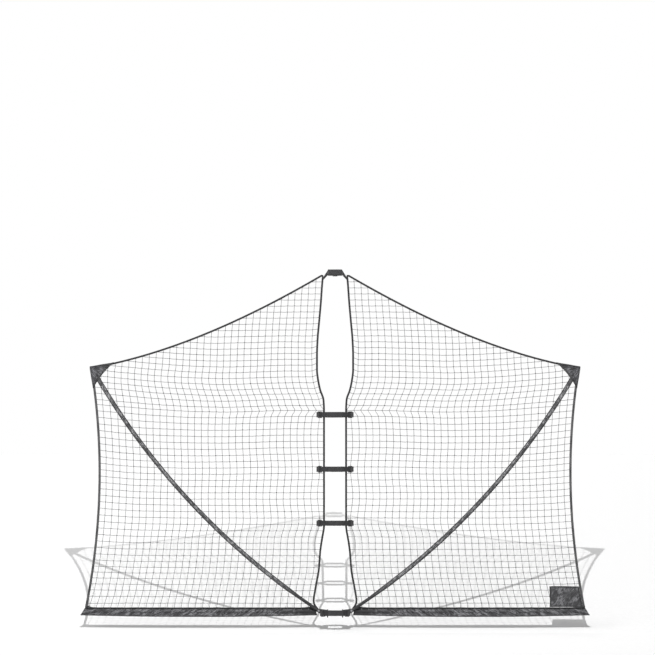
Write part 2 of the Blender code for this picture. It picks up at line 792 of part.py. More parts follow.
def add_rods(prefix, axis, sign, depth, material, parent):
    """Add an arm's inner rod with its glued ferrule, its outer rod and its end cap."""
    start = SOCKET_FLOOR + SEAT
    end = axis_length(axis)
    joint = SOCKET_LENGTH + (end - SOCKET_LENGTH) / 2
    reach = FERRULE_LENGTH / 2
    inner = rod_solid(axis, start, joint, ROD_RADIUS, sign, depth)
    ferrule = rod_solid(axis, joint - reach, joint + reach, FERRULE_RADIUS, sign, depth)
    bore = rod_solid(axis, joint, joint + reach + OVERRUN, ROD_RADIUS + SEAT, sign, depth)
    name = f"{prefix}_rod_inner"
    mesh = carved(name, inner, [("UNION", ferrule), ("DIFFERENCE", bore)])
    add_object(name, mesh, material["fibreglass"], parent=parent)
    outer = rod_solid(axis, joint + SEAT, end - CAP_WALL, ROD_RADIUS, sign, depth)
    name = f"{prefix}_rod_outer"
    add_object(name, finish_mesh(name, outer), material["fibreglass"], parent=parent)
    cap = rod_solid(axis, end - CAP_LENGTH, end, CAP_RADIUS, sign, depth)
    hollow_start, hollow_end = end - CAP_LENGTH - OVERRUN, end - CAP_WALL + SEAT
    hollow = rod_solid(axis, hollow_start, hollow_end, ROD_RADIUS + SEAT, sign, depth)
    name = f"{prefix}_end_cap"
    add_object(name, carved(name, cap, [("DIFFERENCE", hollow)]), material["rubber"], parent=parent)


# Fabric of one wing

def sleeve_mesh(sign):
    """Make the spar's sleeve, from the socket to the corner pocket."""
    path = stretch(SPAR_AXIS, SLEEVE_START, pocket_mouth_distance() + SLEEVE_TUCK)
    outside = [fabric_profile(SLEEVE_HALF_WIDTH, SLEEVE_HALF_WIDTH, -1)] * len(path)
    return sweep(path, outside, sign, -ARM_DEPTH, [channel_profile(-1)] * len(path))


def band_mesh(sign):
    """Make the bottom band: a slanted foot, a hanging lower edge and a pointed outer corner."""
    bm = bmesh.new()
    top_start = PIVOT.x + BAND_START + BAND_START_SLANT
    bottom_start = PIVOT.x + BAND_START
    outside, inside = [], []
    for k in range(BAND_STEPS + 1):
        share = k / BAND_STEPS
        sag = BAND_SAG * 4 * share * (1 - share)
        top_x = top_start + (WING_FOOT_REACH - BAND_TOP_INSET - top_start) * share
        bottom_x = bottom_start + (WING_FOOT_REACH + BAND_TIP_OVERHANG - bottom_start) * share
        below = BAND_BELOW + sag

        def place(profile):
            ring = []
            for across, deep in profile:
                lean = (BAND_ABOVE - across) / (BAND_ABOVE + below)
                x = top_x + (bottom_x - top_x) * lean
                ring.append(bm.verts.new((sign * x, ARM_DEPTH + deep, PIVOT.y + across)))
            return ring

        outside.append(place(fabric_profile(BAND_ABOVE, below, 1)))
        if k < BAND_STEPS:
            inside.append(place(channel_profile(1)))
    for rings in (outside, inside):
        for ring, following in zip(rings, rings[1:]):
            join_rings(bm, ring, following)
    join_rings(bm, outside[0], inside[0])
    blind = [
        bm.verts.new((sign * (BOTTOM_ROD_END + CAP_WALL), vertex.co.y, vertex.co.z))
        for vertex in inside[-1]
    ]
    join_rings(bm, inside[-1], blind)
    bm.faces.new(blind)
    bm.faces.new(outside[-1])
    return bm


def pocket_outline(margin, mouth_margin):
    """Return the corner pocket's outline, a margin outside the cord that it covers."""
    top = []
    for k in range(POCKET_STEPS):
        x = OUTER_CORNER.x - POCKET_TOP_LENGTH - mouth_margin
        x += (POCKET_TOP_LENGTH + mouth_margin) * k / POCKET_STEPS
        top.append((x, top_edge(x) + margin / math.cos(top_slope(x))))
    side = []
    for k in range(1, POCKET_STEPS + 1):
        z = OUTER_CORNER.y - (POCKET_SIDE_LENGTH + mouth_margin) * k / POCKET_STEPS
        side.append((outer_edge(z) + margin, z))
    apex = (OUTER_CORNER.x + margin, OUTER_CORNER.y + margin)
    return [*top, apex, *side]


def pocket_mouth_distance():
    """Return how far along the spar its corner pocket begins."""
    outline = pocket_outline(0.0, 0.0)
    first, last = Vector(outline[0]), Vector(outline[-1])
    normal = perpendicular(last - first)
    high = axis_length(SPAR_AXIS)
    low = high / 2
    for _ in range(SOLVE_ROUNDS):
        middle = (low + high) / 2
        outside = (axis_spot(SPAR_AXIS, middle) - first).dot(normal) < 0
        low, high = (middle, high) if outside else (low, middle)
    return low


def pocket_mesh(name, sign):
    """Make the corner pocket: two layers of cloth, open along its inner edge."""
    room = RIM_HALF_WIDTH + POCKET_ROOM
    front = -ARM_DEPTH - FABRIC_BORE - FABRIC_WALL - POCKET_ROOM
    back = CORD_DEPTH + POCKET_ROOM
    shell = wing_plate(
        pocket_outline(room + POCKET_WALL, 0.0), sign, front - POCKET_WALL, back + POCKET_WALL,
    )
    cavity = wing_plate(pocket_outline(room, OVERRUN * 2), sign, front, back)
    return carved(name, shell, [("DIFFERENCE", cavity)])


# Hub

def tongue_outline():
    """Return the hub's tongue: a tapered plate with a round nose about the pin."""
    root = MOUNT_HALF + SEAT + SADDLE_THICKNESS / 2
    upper, lower = Vector((root, TONGUE_ROOT_TOP)), Vector((root, TONGUE_ROOT_BOTTOM))
    outline = [tuple(lower)]
    start = nose_touch(lower, -1)
    end = nose_touch(upper, 1)
    first = math.atan2(start.y - PIVOT.y, start.x - PIVOT.x)
    last = math.atan2(end.y - PIVOT.y, end.x - PIVOT.x)
    steps = ROD_SIDES
    for k in range(steps + 1):
        angle = first + (last - first) * k / steps
        outline.append((PIVOT.x + NOSE_RADIUS * math.cos(angle), PIVOT.y + NOSE_RADIUS * math.sin(angle)))
    return [*outline, tuple(upper)]


def nose_touch(point, side):
    """Return where a line from a point touches the tongue's nose."""
    line = PIVOT - point
    lean = math.asin(NOSE_RADIUS / line.length)
    reach = math.sqrt(line.length ** 2 - NOSE_RADIUS ** 2)
    return point + Matrix.Rotation(side * lean, 2) @ (line / line.length) * reach


def hub_mesh(name, sign):
    """Make a hub: saddle, tongue, boss for the base buckle and rear lug, in one moulding."""
    inner = MOUNT_HALF + SEAT
    outer = inner + SADDLE_THICKNESS
    outline = rounded_rectangle(
        (-SADDLE_HALF_DEPTH, SADDLE_BOTTOM), (SADDLE_HALF_DEPTH, SADDLE_TOP), SADDLE_CORNER,
    )
    saddle = prism(
        outline,
        lambda point: (sign * inner, point[0], point[1]),
        lambda point: (sign * outer, point[0], point[1]),
    )
    half = TONGUE_THICKNESS / 2
    tongue = wing_plate(tongue_outline(), sign, -half, half)
    boss_start = BASE_BUCKLE_REACH + POST_INSET
    boss = box(
        (sign * boss_start, -BASE_BUCKLE_FRONT + BUCKLE_PLATE + SEAT, BASE_LEVEL - POST_HALF_HEIGHT),
        (sign * (boss_start + POST_LENGTH), -half / 2, BASE_LEVEL + POST_HALF_HEIGHT),
    )
    lug_half = BUCKLE_HEIGHT / 2
    lug = box(
        (sign * (LUG_REACH - LUG_THICKNESS / 2), half / 2, BASE_LEVEL - lug_half),
        (
            sign * (LUG_REACH + LUG_THICKNESS / 2), LUG_BAR_DEPTH + BUCKLE_BAR / 2,
            BASE_LEVEL + lug_half,
        ),
    )
    slot_half = STRAP_WIDTH / 2 + SEAT * 2
    slot = box(
        (sign * (LUG_REACH - LUG_THICKNESS), LUG_BAR_DEPTH - BUCKLE_BAR / 2, BASE_LEVEL - slot_half),
        (
            sign * (LUG_REACH + LUG_THICKNESS), LUG_BAR_DEPTH - BUCKLE_BAR / 2 - BUCKLE_SLOT,
            BASE_LEVEL + slot_half,
        ),
    )
    pin_bore = cylinder(
        (sign * PIVOT.x, -half - OVERRUN, PIVOT.y), (sign * PIVOT.x, half + OVERRUN, PIVOT.y),
        PIN_RADIUS + RUNNING_CLEARANCE,
    )
    steps = [
        ("UNION", tongue), ("UNION", boss), ("UNION", lug), ("DIFFERENCE", slot),
        ("DIFFERENCE", pin_bore),
    ]
    return carved(name, saddle, steps)


def rounded_rectangle(low, high, radius):
    """Return a rectangle's outline with round corners."""
    middle = ((low[0] + high[0]) / 2, low[1])
    corners = [middle, (high[0], low[1]), high, (low[0], high[1]), low, middle]
    return [tuple(point) for point in rounded(corners, radius, BEND_STEPS)[:-1]]


def pin_mesh(name, sign):
    """Make the fold pin, headed at both ends."""
    front = -ARM_DEPTH - SOCKET_RADIUS - SEAT * 2
    back = -front
    profile = [
        (0, front - PIN_HEAD), (PIN_HEAD_RADIUS * 0.8, front - PIN_HEAD),
        (PIN_HEAD_RADIUS, front - PIN_HEAD * 0.6), (PIN_HEAD_RADIUS, front), (PIN_RADIUS, front),
        (PIN_RADIUS, back), (PIN_HEAD_RADIUS, back), (PIN_HEAD_RADIUS, back + PIN_HEAD * 0.6),
        (PIN_HEAD_RADIUS * 0.8, back + PIN_HEAD), (0, back + PIN_HEAD),
    ]
    return finish_mesh(name, turned(profile, (sign * PIVOT.x, PIVOT.y)))


# Buckles and straps

def buckle_mesh(sign):
    """Make a cam buckle's frame: plate, webbing slot, bar and two cheeks with pivot holes."""
    half = BUCKLE_HEIGHT / 2
    cheek_start = BUCKLE_BAR + BUCKLE_SLOT
    plate = box((0, 0, -half), (sign * BUCKLE_LENGTH, BUCKLE_PLATE, half))
    steps = []
    for end in (-1, 1):
        cheek = box(
            (sign * cheek_start, -BUCKLE_CHEEK_RISE, end * (half - SEAT)),
            (sign * (BUCKLE_LENGTH - SEAT), BUCKLE_PLATE / 2, end * (half - BUCKLE_CHEEK)),
        )
        steps.append(("UNION", cheek))
    slot_half = STRAP_WIDTH / 2 + SEAT * 2
    slot = box(
        (sign * BUCKLE_BAR, -OVERRUN, -slot_half), (sign * cheek_start, BUCKLE_PLATE + OVERRUN, slot_half),
    )
    cam_x, cam_y = sign * (BUCKLE_LENGTH - CAM_FROM_EDGE), -CAM_THROAT - CAM_RADIUS
    hole_end = half + OVERRUN
    hole = cylinder(
        (cam_x, cam_y, -hole_end), (cam_x, cam_y, hole_end), PIVOT_RADIUS + RUNNING_CLEARANCE, SMALL_SIDES,
    )
    return carved("buckle", plate, steps + [("DIFFERENCE", slot), ("DIFFERENCE", hole)])


def lever_mesh(sign):
    """Make a cam lever about its own axis: toothed cam, paddle and two pivots."""
    half = BUCKLE_HEIGHT / 2 - BUCKLE_CHEEK - CAM_SIDE_PLAY
    teeth = []
    for k in range(CAM_TEETH * 2):
        angle = math.tau * k / (CAM_TEETH * 2)
        radius = CAM_RADIUS - CAM_RELIEF * (1 - math.sin(angle)) / 2 - (CAM_TOOTH if k % 2 else 0.0)
        teeth.append((radius * math.cos(angle), radius * math.sin(angle)))
    cam = plan_plate(teeth, -half, half)
    front = -CAM_RADIUS
    paddle = plan_plate(
        [
            (0, front + PADDLE_THICKNESS), (0, front),
            (sign * PADDLE_LENGTH * 0.55, front - PADDLE_THICKNESS * 0.35),
            (sign * PADDLE_LENGTH, front - PADDLE_THICKNESS * 0.1),
            (sign * PADDLE_LENGTH, front + PADDLE_THICKNESS * 0.6),
            (sign * PADDLE_LENGTH * 0.55, front + PADDLE_THICKNESS * 0.65),
        ],
        -half + SEAT, half - SEAT,
    )
    pivot = cylinder(
        (0, 0, -half - CAM_SIDE_PLAY - PIVOT_BITE), (0, 0, half + CAM_SIDE_PLAY + PIVOT_BITE),
        PIVOT_RADIUS, SMALL_SIDES,
    )
    return carved("lever", cam, [("UNION", paddle), ("UNION", pivot)])


def mid_buckle_place():
    """Return a mid buckle's bar side, from the axis, and the depth of its plate's front."""
    crossing = CINCH_REACH + CORD_RADIUS + NET_EDGE_GAP + NET_STRAND + STRAP_THICKNESS * STRAP_CROSSING_SHARE
    plate_front = -(NET_THICKNESS / 2 + BUCKLE_BACK + BUCKLE_PLATE)
    start = Vector((MOUNT_HALF + STRAP_OFFSET, MOUNT_HALF + STRAP_OFFSET))
    line = (Vector((crossing, 0)) - start).normalized()
    bar_depth = plate_front + BUCKLE_PLATE / 2
    aside = -perpendicular(line) * bar_wrap_radius(BUCKLE_PLATE)
    bar = Vector((crossing, 0)) + aside
    bar += line * ((bar.y - bar_depth) / -line.y)
    return bar.x - BUCKLE_BAR / 2, plate_front


def bar_wrap_radius(depth):
    """Return the radius at which webbing's middle goes round a flat bar."""
    return math.hypot(BUCKLE_BAR / 2, depth / 2) + STRAP_OFFSET


def mirrored(half):
    """Join a half path, drawn outwards from the middle, to its mirror image."""
    return [Vector((-point.x, point.y)) for point in reversed(half)][:-1] + list(half)


def front_strap_plan(bar_side, plate_front):
    """Return the front webbing's path: round the mount and through both buckles."""
    side = MOUNT_HALF + STRAP_OFFSET
    throat = plate_front - STRAP_OFFSET
    corners = [
        (0, -side), (side, -side),
        (bar_side + BUCKLE_BAR + BUCKLE_SLOT, throat),
        (bar_side + BUCKLE_LENGTH + STRAP_TAIL, throat),
    ]
    return mirrored(rounded(corners, MOUNT_CORNER, BEND_STEPS))


def back_strap_plan(bar, radius, fold):
    """Return the back webbing's path: round the mount and folded about a bar at each end."""
    side = MOUNT_HALF + STRAP_OFFSET
    wrap = tangent_wrap((side, side), bar, radius, 1, fold, FOLD_STEPS)
    corner = rounded([(0, side), (side, side), wrap[0]], MOUNT_CORNER, BEND_STEPS)[:-1]
    return mirrored(corner + wrap)


def add_strap_set(prefix, level, bar_side, plate_front, front_plan, back_plan, meshes, material):
    """Add one level's webbings and, on each side, its buckle frame and cam lever."""
    for name, plan in ((f"{prefix}_strap_front", front_plan), (f"{prefix}_strap_back", back_plan)):
        add_object(name, finish_mesh(name, webbing(plan, level)), material["webbing"])
    for side_name, sign in SIDES:
        frame, lever = meshes[side_name]
        name = f"{side_name}_{prefix}_buckle"
        add_object(name, frame.copy(), material["plastic"], (sign * bar_side, plate_front, level))
        name = f"{side_name}_{prefix}_cam_lever"
        spot = (
            sign * (bar_side + BUCKLE_LENGTH - CAM_FROM_EDGE),
            plate_front - CAM_THROAT - CAM_RADIUS, level,
        )
        add_object(name, lever.copy(), material["plastic"], spot)


def add_straps(material):
    """Add the base strap and the three mid straps, with their buckles."""
    meshes = {name: (buckle_mesh(sign), lever_mesh(sign)) for name, sign in SIDES}
    base = (BASE_BUCKLE_REACH, -BASE_BUCKLE_FRONT)
    lug_radius = math.hypot(BUCKLE_BAR / 2, LUG_THICKNESS / 2) + STRAP_OFFSET
    back = back_strap_plan((LUG_REACH, LUG_BAR_DEPTH), lug_radius, BASE_FOLD)
    add_strap_set("base", BASE_LEVEL, *base, front_strap_plan(*base), back, meshes, material)
    place = mid_buckle_place()
    bar = (place[0] + BUCKLE_BAR / 2, place[1] + BUCKLE_PLATE / 2)
    back = back_strap_plan(bar, bar_wrap_radius(BUCKLE_PLATE), STRAP_FOLD)
    front = front_strap_plan(*place)
    for prefix, level in zip(STRAP_NAMES, STRAP_LEVELS):
        add_strap_set(prefix, level, *place, front, back, meshes, material)


def add_top_strap(material):
    """Add the top strap, its slide at the back and the two corner tabs."""
    side = MOUNT_HALF + STRAP_OFFSET
    corners = [(0, -side), (side, -side), (side, side), (-side, side), (-side, -side), (0, -side)]
    plan = rounded(corners, MOUNT_CORNER, BEND_STEPS)[:-1]
    strap = webbing(plan, TOP_LEVEL, closed=True)
    add_object("top_strap", finish_mesh("top_strap", strap), material["webbing"])
    face = side + STRAP_THICKNESS / 2 + SEAT
    half = GLIDE_LENGTH / 2
    glide = box(
        (-half, face, TOP_LEVEL - GLIDE_HEIGHT / 2),
        (half, face + GLIDE_THICKNESS, TOP_LEVEL + GLIDE_HEIGHT / 2),
    )
    slots = []
    slot_half = STRAP_WIDTH / 2 + SEAT
    for end in (-1, 1):
        slots.append(("DIFFERENCE", box(
            (end * GLIDE_BAR / 2, face - OVERRUN, TOP_LEVEL - slot_half),
            (end * (GLIDE_BAR / 2 + GLIDE_SLOT), face + GLIDE_THICKNESS + OVERRUN, TOP_LEVEL + slot_half),
        )))
    add_object("top_strap_slide", carved("top_strap_slide", glide, slots), material["plastic"])
    low, high = TOP_LEVEL - STRAP_WIDTH / 2, TOP_LEVEL + STRAP_WIDTH / 2
    end_top = WING_TOP - TAB_DROP
    end_bottom = end_top - TAB_END_HEIGHT
    clear = CORD_RADIUS + SEAT * 2
    outline = [
        (face, low), (inner_edge(end_bottom) - clear, end_bottom),
        (inner_edge(end_top) - clear, end_top), (face, high),
    ]
    for side_name, sign in SIDES:
        name = f"{side_name}_corner_tab"
        tab = wing_plate(outline, sign, -TAB_THICKNESS / 2, TAB_THICKNESS / 2)
        add_object(name, finish_mesh(name, tab), material["webbing"])


# Wings

def add_wing(side_name, sign, material):
    """Add one wing: hub, pin, folding arms, fabric, edge cord and net."""
    name = f"{side_name}_hub"
    add_object(name, hub_mesh(name, sign), material["plastic"])
    name = f"{side_name}_fold_pin"
    add_object(name, pin_mesh(name, sign), material["steel"])
    centre = (sign * PIVOT.x, 0.0, PIVOT.y)
    arm = joint_empty(f"{side_name}_arm_axis", centre)
    spar = joint_empty(f"{side_name}_spar_axis", centre)

    name = f"{side_name}_arm_socket"
    mesh = socket_mesh(name, Vector((1, 0)), sign, ARM_DEPTH)
    add_object(name, mesh, material["plastic"], parent=arm)
    add_rods(f"{side_name}_arm", ARM_AXIS, sign, ARM_DEPTH, material, arm)
    name = f"{side_name}_bottom_band"
    add_object(name, finish_mesh(name, band_mesh(sign)), material["fabric"], parent=arm)

    name = f"{side_name}_spar_socket"
    mesh = socket_mesh(name, spar_start()[0], sign, -ARM_DEPTH)
    add_object(name, mesh, material["plastic"], parent=spar)
    add_rods(f"{side_name}_spar", SPAR_AXIS, sign, -ARM_DEPTH, material, spar)
    name = f"{side_name}_spar_sleeve"
    add_object(name, finish_mesh(name, sleeve_mesh(sign)), material["fabric"], parent=spar)
    name = f"{side_name}_corner_pocket"
    add_object(name, pocket_mesh(name, sign), material["fabric"], parent=spar)

    name = f"{side_name}_edge_cord"
    path, rings = edge_cord_route()
    cord = sweep(path, rings, sign, 0.0)
    add_object(name, finish_mesh(name, cord), material["cord"])
    name = f"{side_name}_net"
    add_object(name, finish_mesh(name, net_mesh(sign)), material["net"])
    return arm


def add_patch(parent, material):
    """Add the plain fabric patch sewn over the right wing's lower outer corner."""
    front = -NET_THICKNESS / 2 - SEAT - PATCH_THICKNESS
    low = BAND_TOP + SEAT
    heights = [low + PATCH_HEIGHT * k / PATCH_STEPS for k in range(PATCH_STEPS + 1)]
    inner = WING_FOOT_REACH - PATCH_INSET
    outer = [(outer_edge(z) - RIM_HALF_WIDTH - NET_EDGE_GAP, z) for z in heights]
    corners = [(inner, heights[0]), *outer, (inner, heights[-1])]
    patch = wing_plate(corners, 1, front, front + PATCH_THICKNESS)
    add_object("right_patch", finish_mesh("right_patch", patch), material["fabric"], parent=parent)


def main():
    """Build the whole return net in an empty scene."""
    for item in list(bpy.data.objects):
        bpy.data.objects.remove(item)
    material = {
        "fabric": make_material("black_fabric", (0.030, 0.030, 0.032), 0.85),
        "webbing": make_material("black_webbing", (0.022, 0.022, 0.024), 0.80),
        "cord": make_material("black_cord", (0.012, 0.012, 0.013), 0.75),
        "net": make_material("grey_twine", (0.34, 0.34, 0.35), 0.80),
        "plastic": make_material("black_plastic", (0.018, 0.018, 0.019), 0.45),
        "rubber": make_material("black_rubber", (0.020, 0.020, 0.021), 0.70),
        "fibreglass": make_material("dark_fibreglass", (0.045, 0.045, 0.048), 0.35),
        "steel": make_material("zinc_steel", (0.55, 0.55, 0.56), 0.35, 1.0),
    }
    arms = [add_wing(side_name, sign, material) for side_name, sign in SIDES]
    add_patch(arms[-1], material)
    add_straps(material)
    add_top_strap(material)


main()
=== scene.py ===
"""Looks of the basketball return net: twine, cords, sewn fabric, straps and fittings.

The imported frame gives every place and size. The left wing is drawn at negative X and
the right wing mirrors it. Metres throughout; the front faces -Y and Z is up.
"""

from __future__ import annotations

import json
import logging
import math
from dataclasses import dataclass
from enum import Enum
from typing import Any, Callable, ClassVar, Iterable, Sequence

import bmesh
import bpy
from mathutils import Matrix, Vector, noise

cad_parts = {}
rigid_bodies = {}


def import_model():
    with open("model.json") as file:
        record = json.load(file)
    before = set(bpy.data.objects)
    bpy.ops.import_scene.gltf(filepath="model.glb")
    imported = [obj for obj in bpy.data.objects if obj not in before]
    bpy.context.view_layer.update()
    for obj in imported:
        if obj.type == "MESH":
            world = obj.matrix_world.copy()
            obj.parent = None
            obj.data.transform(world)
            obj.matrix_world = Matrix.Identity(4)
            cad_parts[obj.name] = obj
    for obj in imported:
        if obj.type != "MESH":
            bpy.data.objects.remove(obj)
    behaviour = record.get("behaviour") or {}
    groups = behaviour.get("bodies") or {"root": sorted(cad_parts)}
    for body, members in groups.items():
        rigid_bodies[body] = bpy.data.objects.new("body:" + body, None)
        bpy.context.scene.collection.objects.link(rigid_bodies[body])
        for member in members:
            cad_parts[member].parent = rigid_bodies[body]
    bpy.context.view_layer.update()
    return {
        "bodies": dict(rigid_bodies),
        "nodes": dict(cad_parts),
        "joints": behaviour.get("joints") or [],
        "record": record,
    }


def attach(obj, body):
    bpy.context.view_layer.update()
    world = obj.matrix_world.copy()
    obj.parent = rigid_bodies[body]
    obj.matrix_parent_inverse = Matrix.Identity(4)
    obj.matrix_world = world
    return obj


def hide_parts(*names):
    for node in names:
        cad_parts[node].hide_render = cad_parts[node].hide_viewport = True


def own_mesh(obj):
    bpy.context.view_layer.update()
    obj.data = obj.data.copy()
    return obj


LOG = logging.getLogger("return_net")
ROOT = "pole_side"
FABRIC, WEBBING = "black_fabric", "black_webbing"
SHADOW_LAMP = (0.0, -10.0, 8.206)
Colour = tuple[float, float, float]
Path = Sequence[Vector]
Material = bpy.types.Material
Mesh = bpy.types.Mesh
Piece = bpy.types.Object
Pair = tuple[float, float]
Knots = tuple[Pair, ...]
FRONT = Vector((0, -1, 0))


class Side(Enum):
    """One wing of the net, with the sign of its X."""

    LEFT = -1
    RIGHT = 1

    @property
    def label(self) -> str:
        """Return the name that starts the wing's nodes."""
        return self.name.lower()


class Coordinate(Enum):
    """Where a pattern reads its place from."""

    OBJECT = "Object"
    SURFACE = "UV"


# Node trees


def operator(operation: str, swapped: bool = False) -> Callable[..., Signal]:
    """Make a signal's operator, which adds a Math node.

    Args:
        operation: the Math node's operation.
        swapped: whether the signal comes after the other value.

    Returns:
        The operator.
    """

    def apply(signal: Signal, *others: Any) -> Signal:
        """Add the node over the signal and the other value, if there is one."""
        values = (*others, signal) if swapped else (signal, *others)
        return signal.builder.node("ShaderNodeMath", {"operation": operation}, dict(enumerate(values)))

    return apply


@dataclass(frozen=True, eq=False)
class Signal:
    """A socket of a node tree that takes part in Python expressions."""

    builder: TreeBuilder
    socket: bpy.types.NodeSocket

    __add__, __radd__ = operator("ADD"), operator("ADD", True)
    __sub__, __rsub__ = operator("SUBTRACT"), operator("SUBTRACT", True)
    __mul__, __rmul__ = operator("MULTIPLY"), operator("MULTIPLY", True)
    __pow__, __abs__ = operator("POWER"), operator("ABSOLUTE")
    larger, sine = operator("MAXIMUM"), operator("SINE")

    def wave(self, pitch: float) -> Signal:
        """Return a sine wave of that pitch."""
        return (self * (math.tau / pitch)).sine()

    def ramp(self, low: float, high: float) -> Signal:
        """Spread the stretch from low to high over 0 to 1, with soft ends."""
        settings = {"interpolation_type": "SMOOTHSTEP"}
        return self.builder.node("ShaderNodeMapRange", settings, {0: self, 1: low, 2: high})


class TreeBuilder:
    """A node tree under construction, written as calls."""

    def __init__(self, tree: bpy.types.NodeTree) -> None:
        """Take the tree to build in."""
        self.tree = tree

    def node(
        self, kind: str, settings: dict[str, Any] | None = None,
        inputs: dict[Any, Any] | None = None, output: int | str = 0,
    ) -> Signal:
        """Add a node.

        Args:
            kind: the node's type name.
            settings: attributes, set before the sockets.
            inputs: values or signals by socket name or number.
            output: the socket to return, by name or number.

        Returns:
            The chosen output.
        """
        made = self.tree.nodes.new(kind)
        for key, value in (settings or {}).items():
            setattr(made, key, value)
        self.fill(made, inputs or {})
        return Signal(self, made.outputs[output])

    def fill(self, node: bpy.types.Node, inputs: dict[Any, Any]) -> None:
        """Give a node's sockets their values, or link signals to them.

        Args:
            node: the node.
            inputs: values or signals by socket name or number, several in a list.
        """
        for key, value in inputs.items():
            for single in value if isinstance(value, list) else [value]:
                if isinstance(single, Signal):
                    self.tree.links.new(single.socket, node.inputs[key])
                else:
                    node.inputs[key].default_value = single

    def rays(self, *kinds: str) -> Signal:
        """Return 1 for light rays of any of these kinds and 0 for the others."""
        found = [self.node("ShaderNodeLightPath", output=f"Is {kind} Ray") for kind in kinds]
        total = found[0]
        for other in found[1:]:
            total = total.larger(other)
        return total


class Shader(TreeBuilder):
    """A material under construction, with one Principled surface."""

    def __init__(self, name: str) -> None:
        """Start a material of that name."""
        self.material = bpy.data.materials.new(name)
        self.material.use_nodes = True
        super().__init__(self.material.node_tree)
        self.surface = self.tree.nodes["Principled BSDF"]

    def place(self, coordinate: Coordinate, scale: Colour = (1.0, 1.0, 1.0)) -> Signal:
        """Return the pattern's place in metres, stretched along its axes."""
        start = self.node("ShaderNodeTexCoord", output=coordinate.value)
        return self.node("ShaderNodeMapping", {"vector_type": "POINT"}, {"Vector": start, "Scale": scale})

    def noise(self, place: Signal, scale: float, detail: float, warp: float = 0.0) -> Signal:
        """Return soft noise about 0.5, with scale features a metre, finer layers and a warp of itself."""
        inputs = {"Vector": place, "Scale": scale, "Detail": detail, "Distortion": warp}
        return self.node("ShaderNodeTexNoise", {"noise_dimensions": "3D"}, inputs)

    def parts(self, place: Signal) -> tuple[Signal, Signal, Signal]:
        """Split a place into its three numbers."""
        split = self.node("ShaderNodeSeparateXYZ", inputs={0: place})
        return tuple(Signal(self, output) for output in split.socket.node.outputs)

    def blend(self, share: Signal, first: Colour | Signal, second: Colour | Signal) -> Signal:
        """Mix two linear colours.

        Args:
            share: 0 for the first and 1 for the second.
            first: a colour.
            second: another.

        Returns:
            The mixed colour.
        """
        inputs: dict[Any, Any] = {0: share}
        for key, colour in ((6, first), (7, second)):
            inputs[key] = colour if isinstance(colour, Signal) else (*colour, 1.0)
        return self.node("ShaderNodeMix", {"data_type": "RGBA"}, inputs, 2)

    def grey(self, share: Signal) -> Signal:
        """Turn a value into a grey."""
        return self.blend(share, (0.0, 0.0, 0.0), (1.0, 1.0, 1.0))

    def bump(self, height: Signal, depth: float, below: Signal | None = None) -> Signal:
        """Return a normal that a height bends.

        Args:
            height: the height, from 0 to 1.
            depth: how deep the height is, in metres.
            below: a normal that this one lies over.

        Returns:
            The bent normal.
        """
        inputs: dict[Any, Any] = {"Height": height, "Distance": depth, "Strength": 1.0}
        if below is not None:
            inputs["Normal"] = below
        return self.node("ShaderNodeBump", inputs=inputs)

    def clear_from_behind(self) -> None:
        """Let everything be seen through the surface's back."""
        inputs = {
            0: self.node("ShaderNodeNewGeometry", output="Backfacing"),
            1: Signal(self, self.surface.outputs[0]), 2: self.node("ShaderNodeBsdfTransparent"),
        }
        mixed = self.node("ShaderNodeMixShader", inputs=inputs)
        self.fill(self.tree.nodes["Material Output"], {"Surface": mixed})


# Finishes


Look = tuple[Signal, Signal, Signal]


@dataclass(frozen=True)
class Finish:
    """A finish, which becomes one material."""

    name: str
    metallic: ClassVar[float] = 0.0

    def look(self, shader: Shader) -> Look:
        """Return the surface's sockets.

        Args:
            shader: the material under construction.

        Returns:
            The colour, the roughness and the normal.
        """
        raise NotImplementedError

    def build(self) -> Material:
        """Build the material."""
        shader = Shader(self.name)
        colour, roughness, normal = self.look(shader)
        shader.fill(shader.surface, {
            "Base Color": colour, "Roughness": roughness, "Normal": normal, "Metallic": self.metallic,
        })
        return shader.material


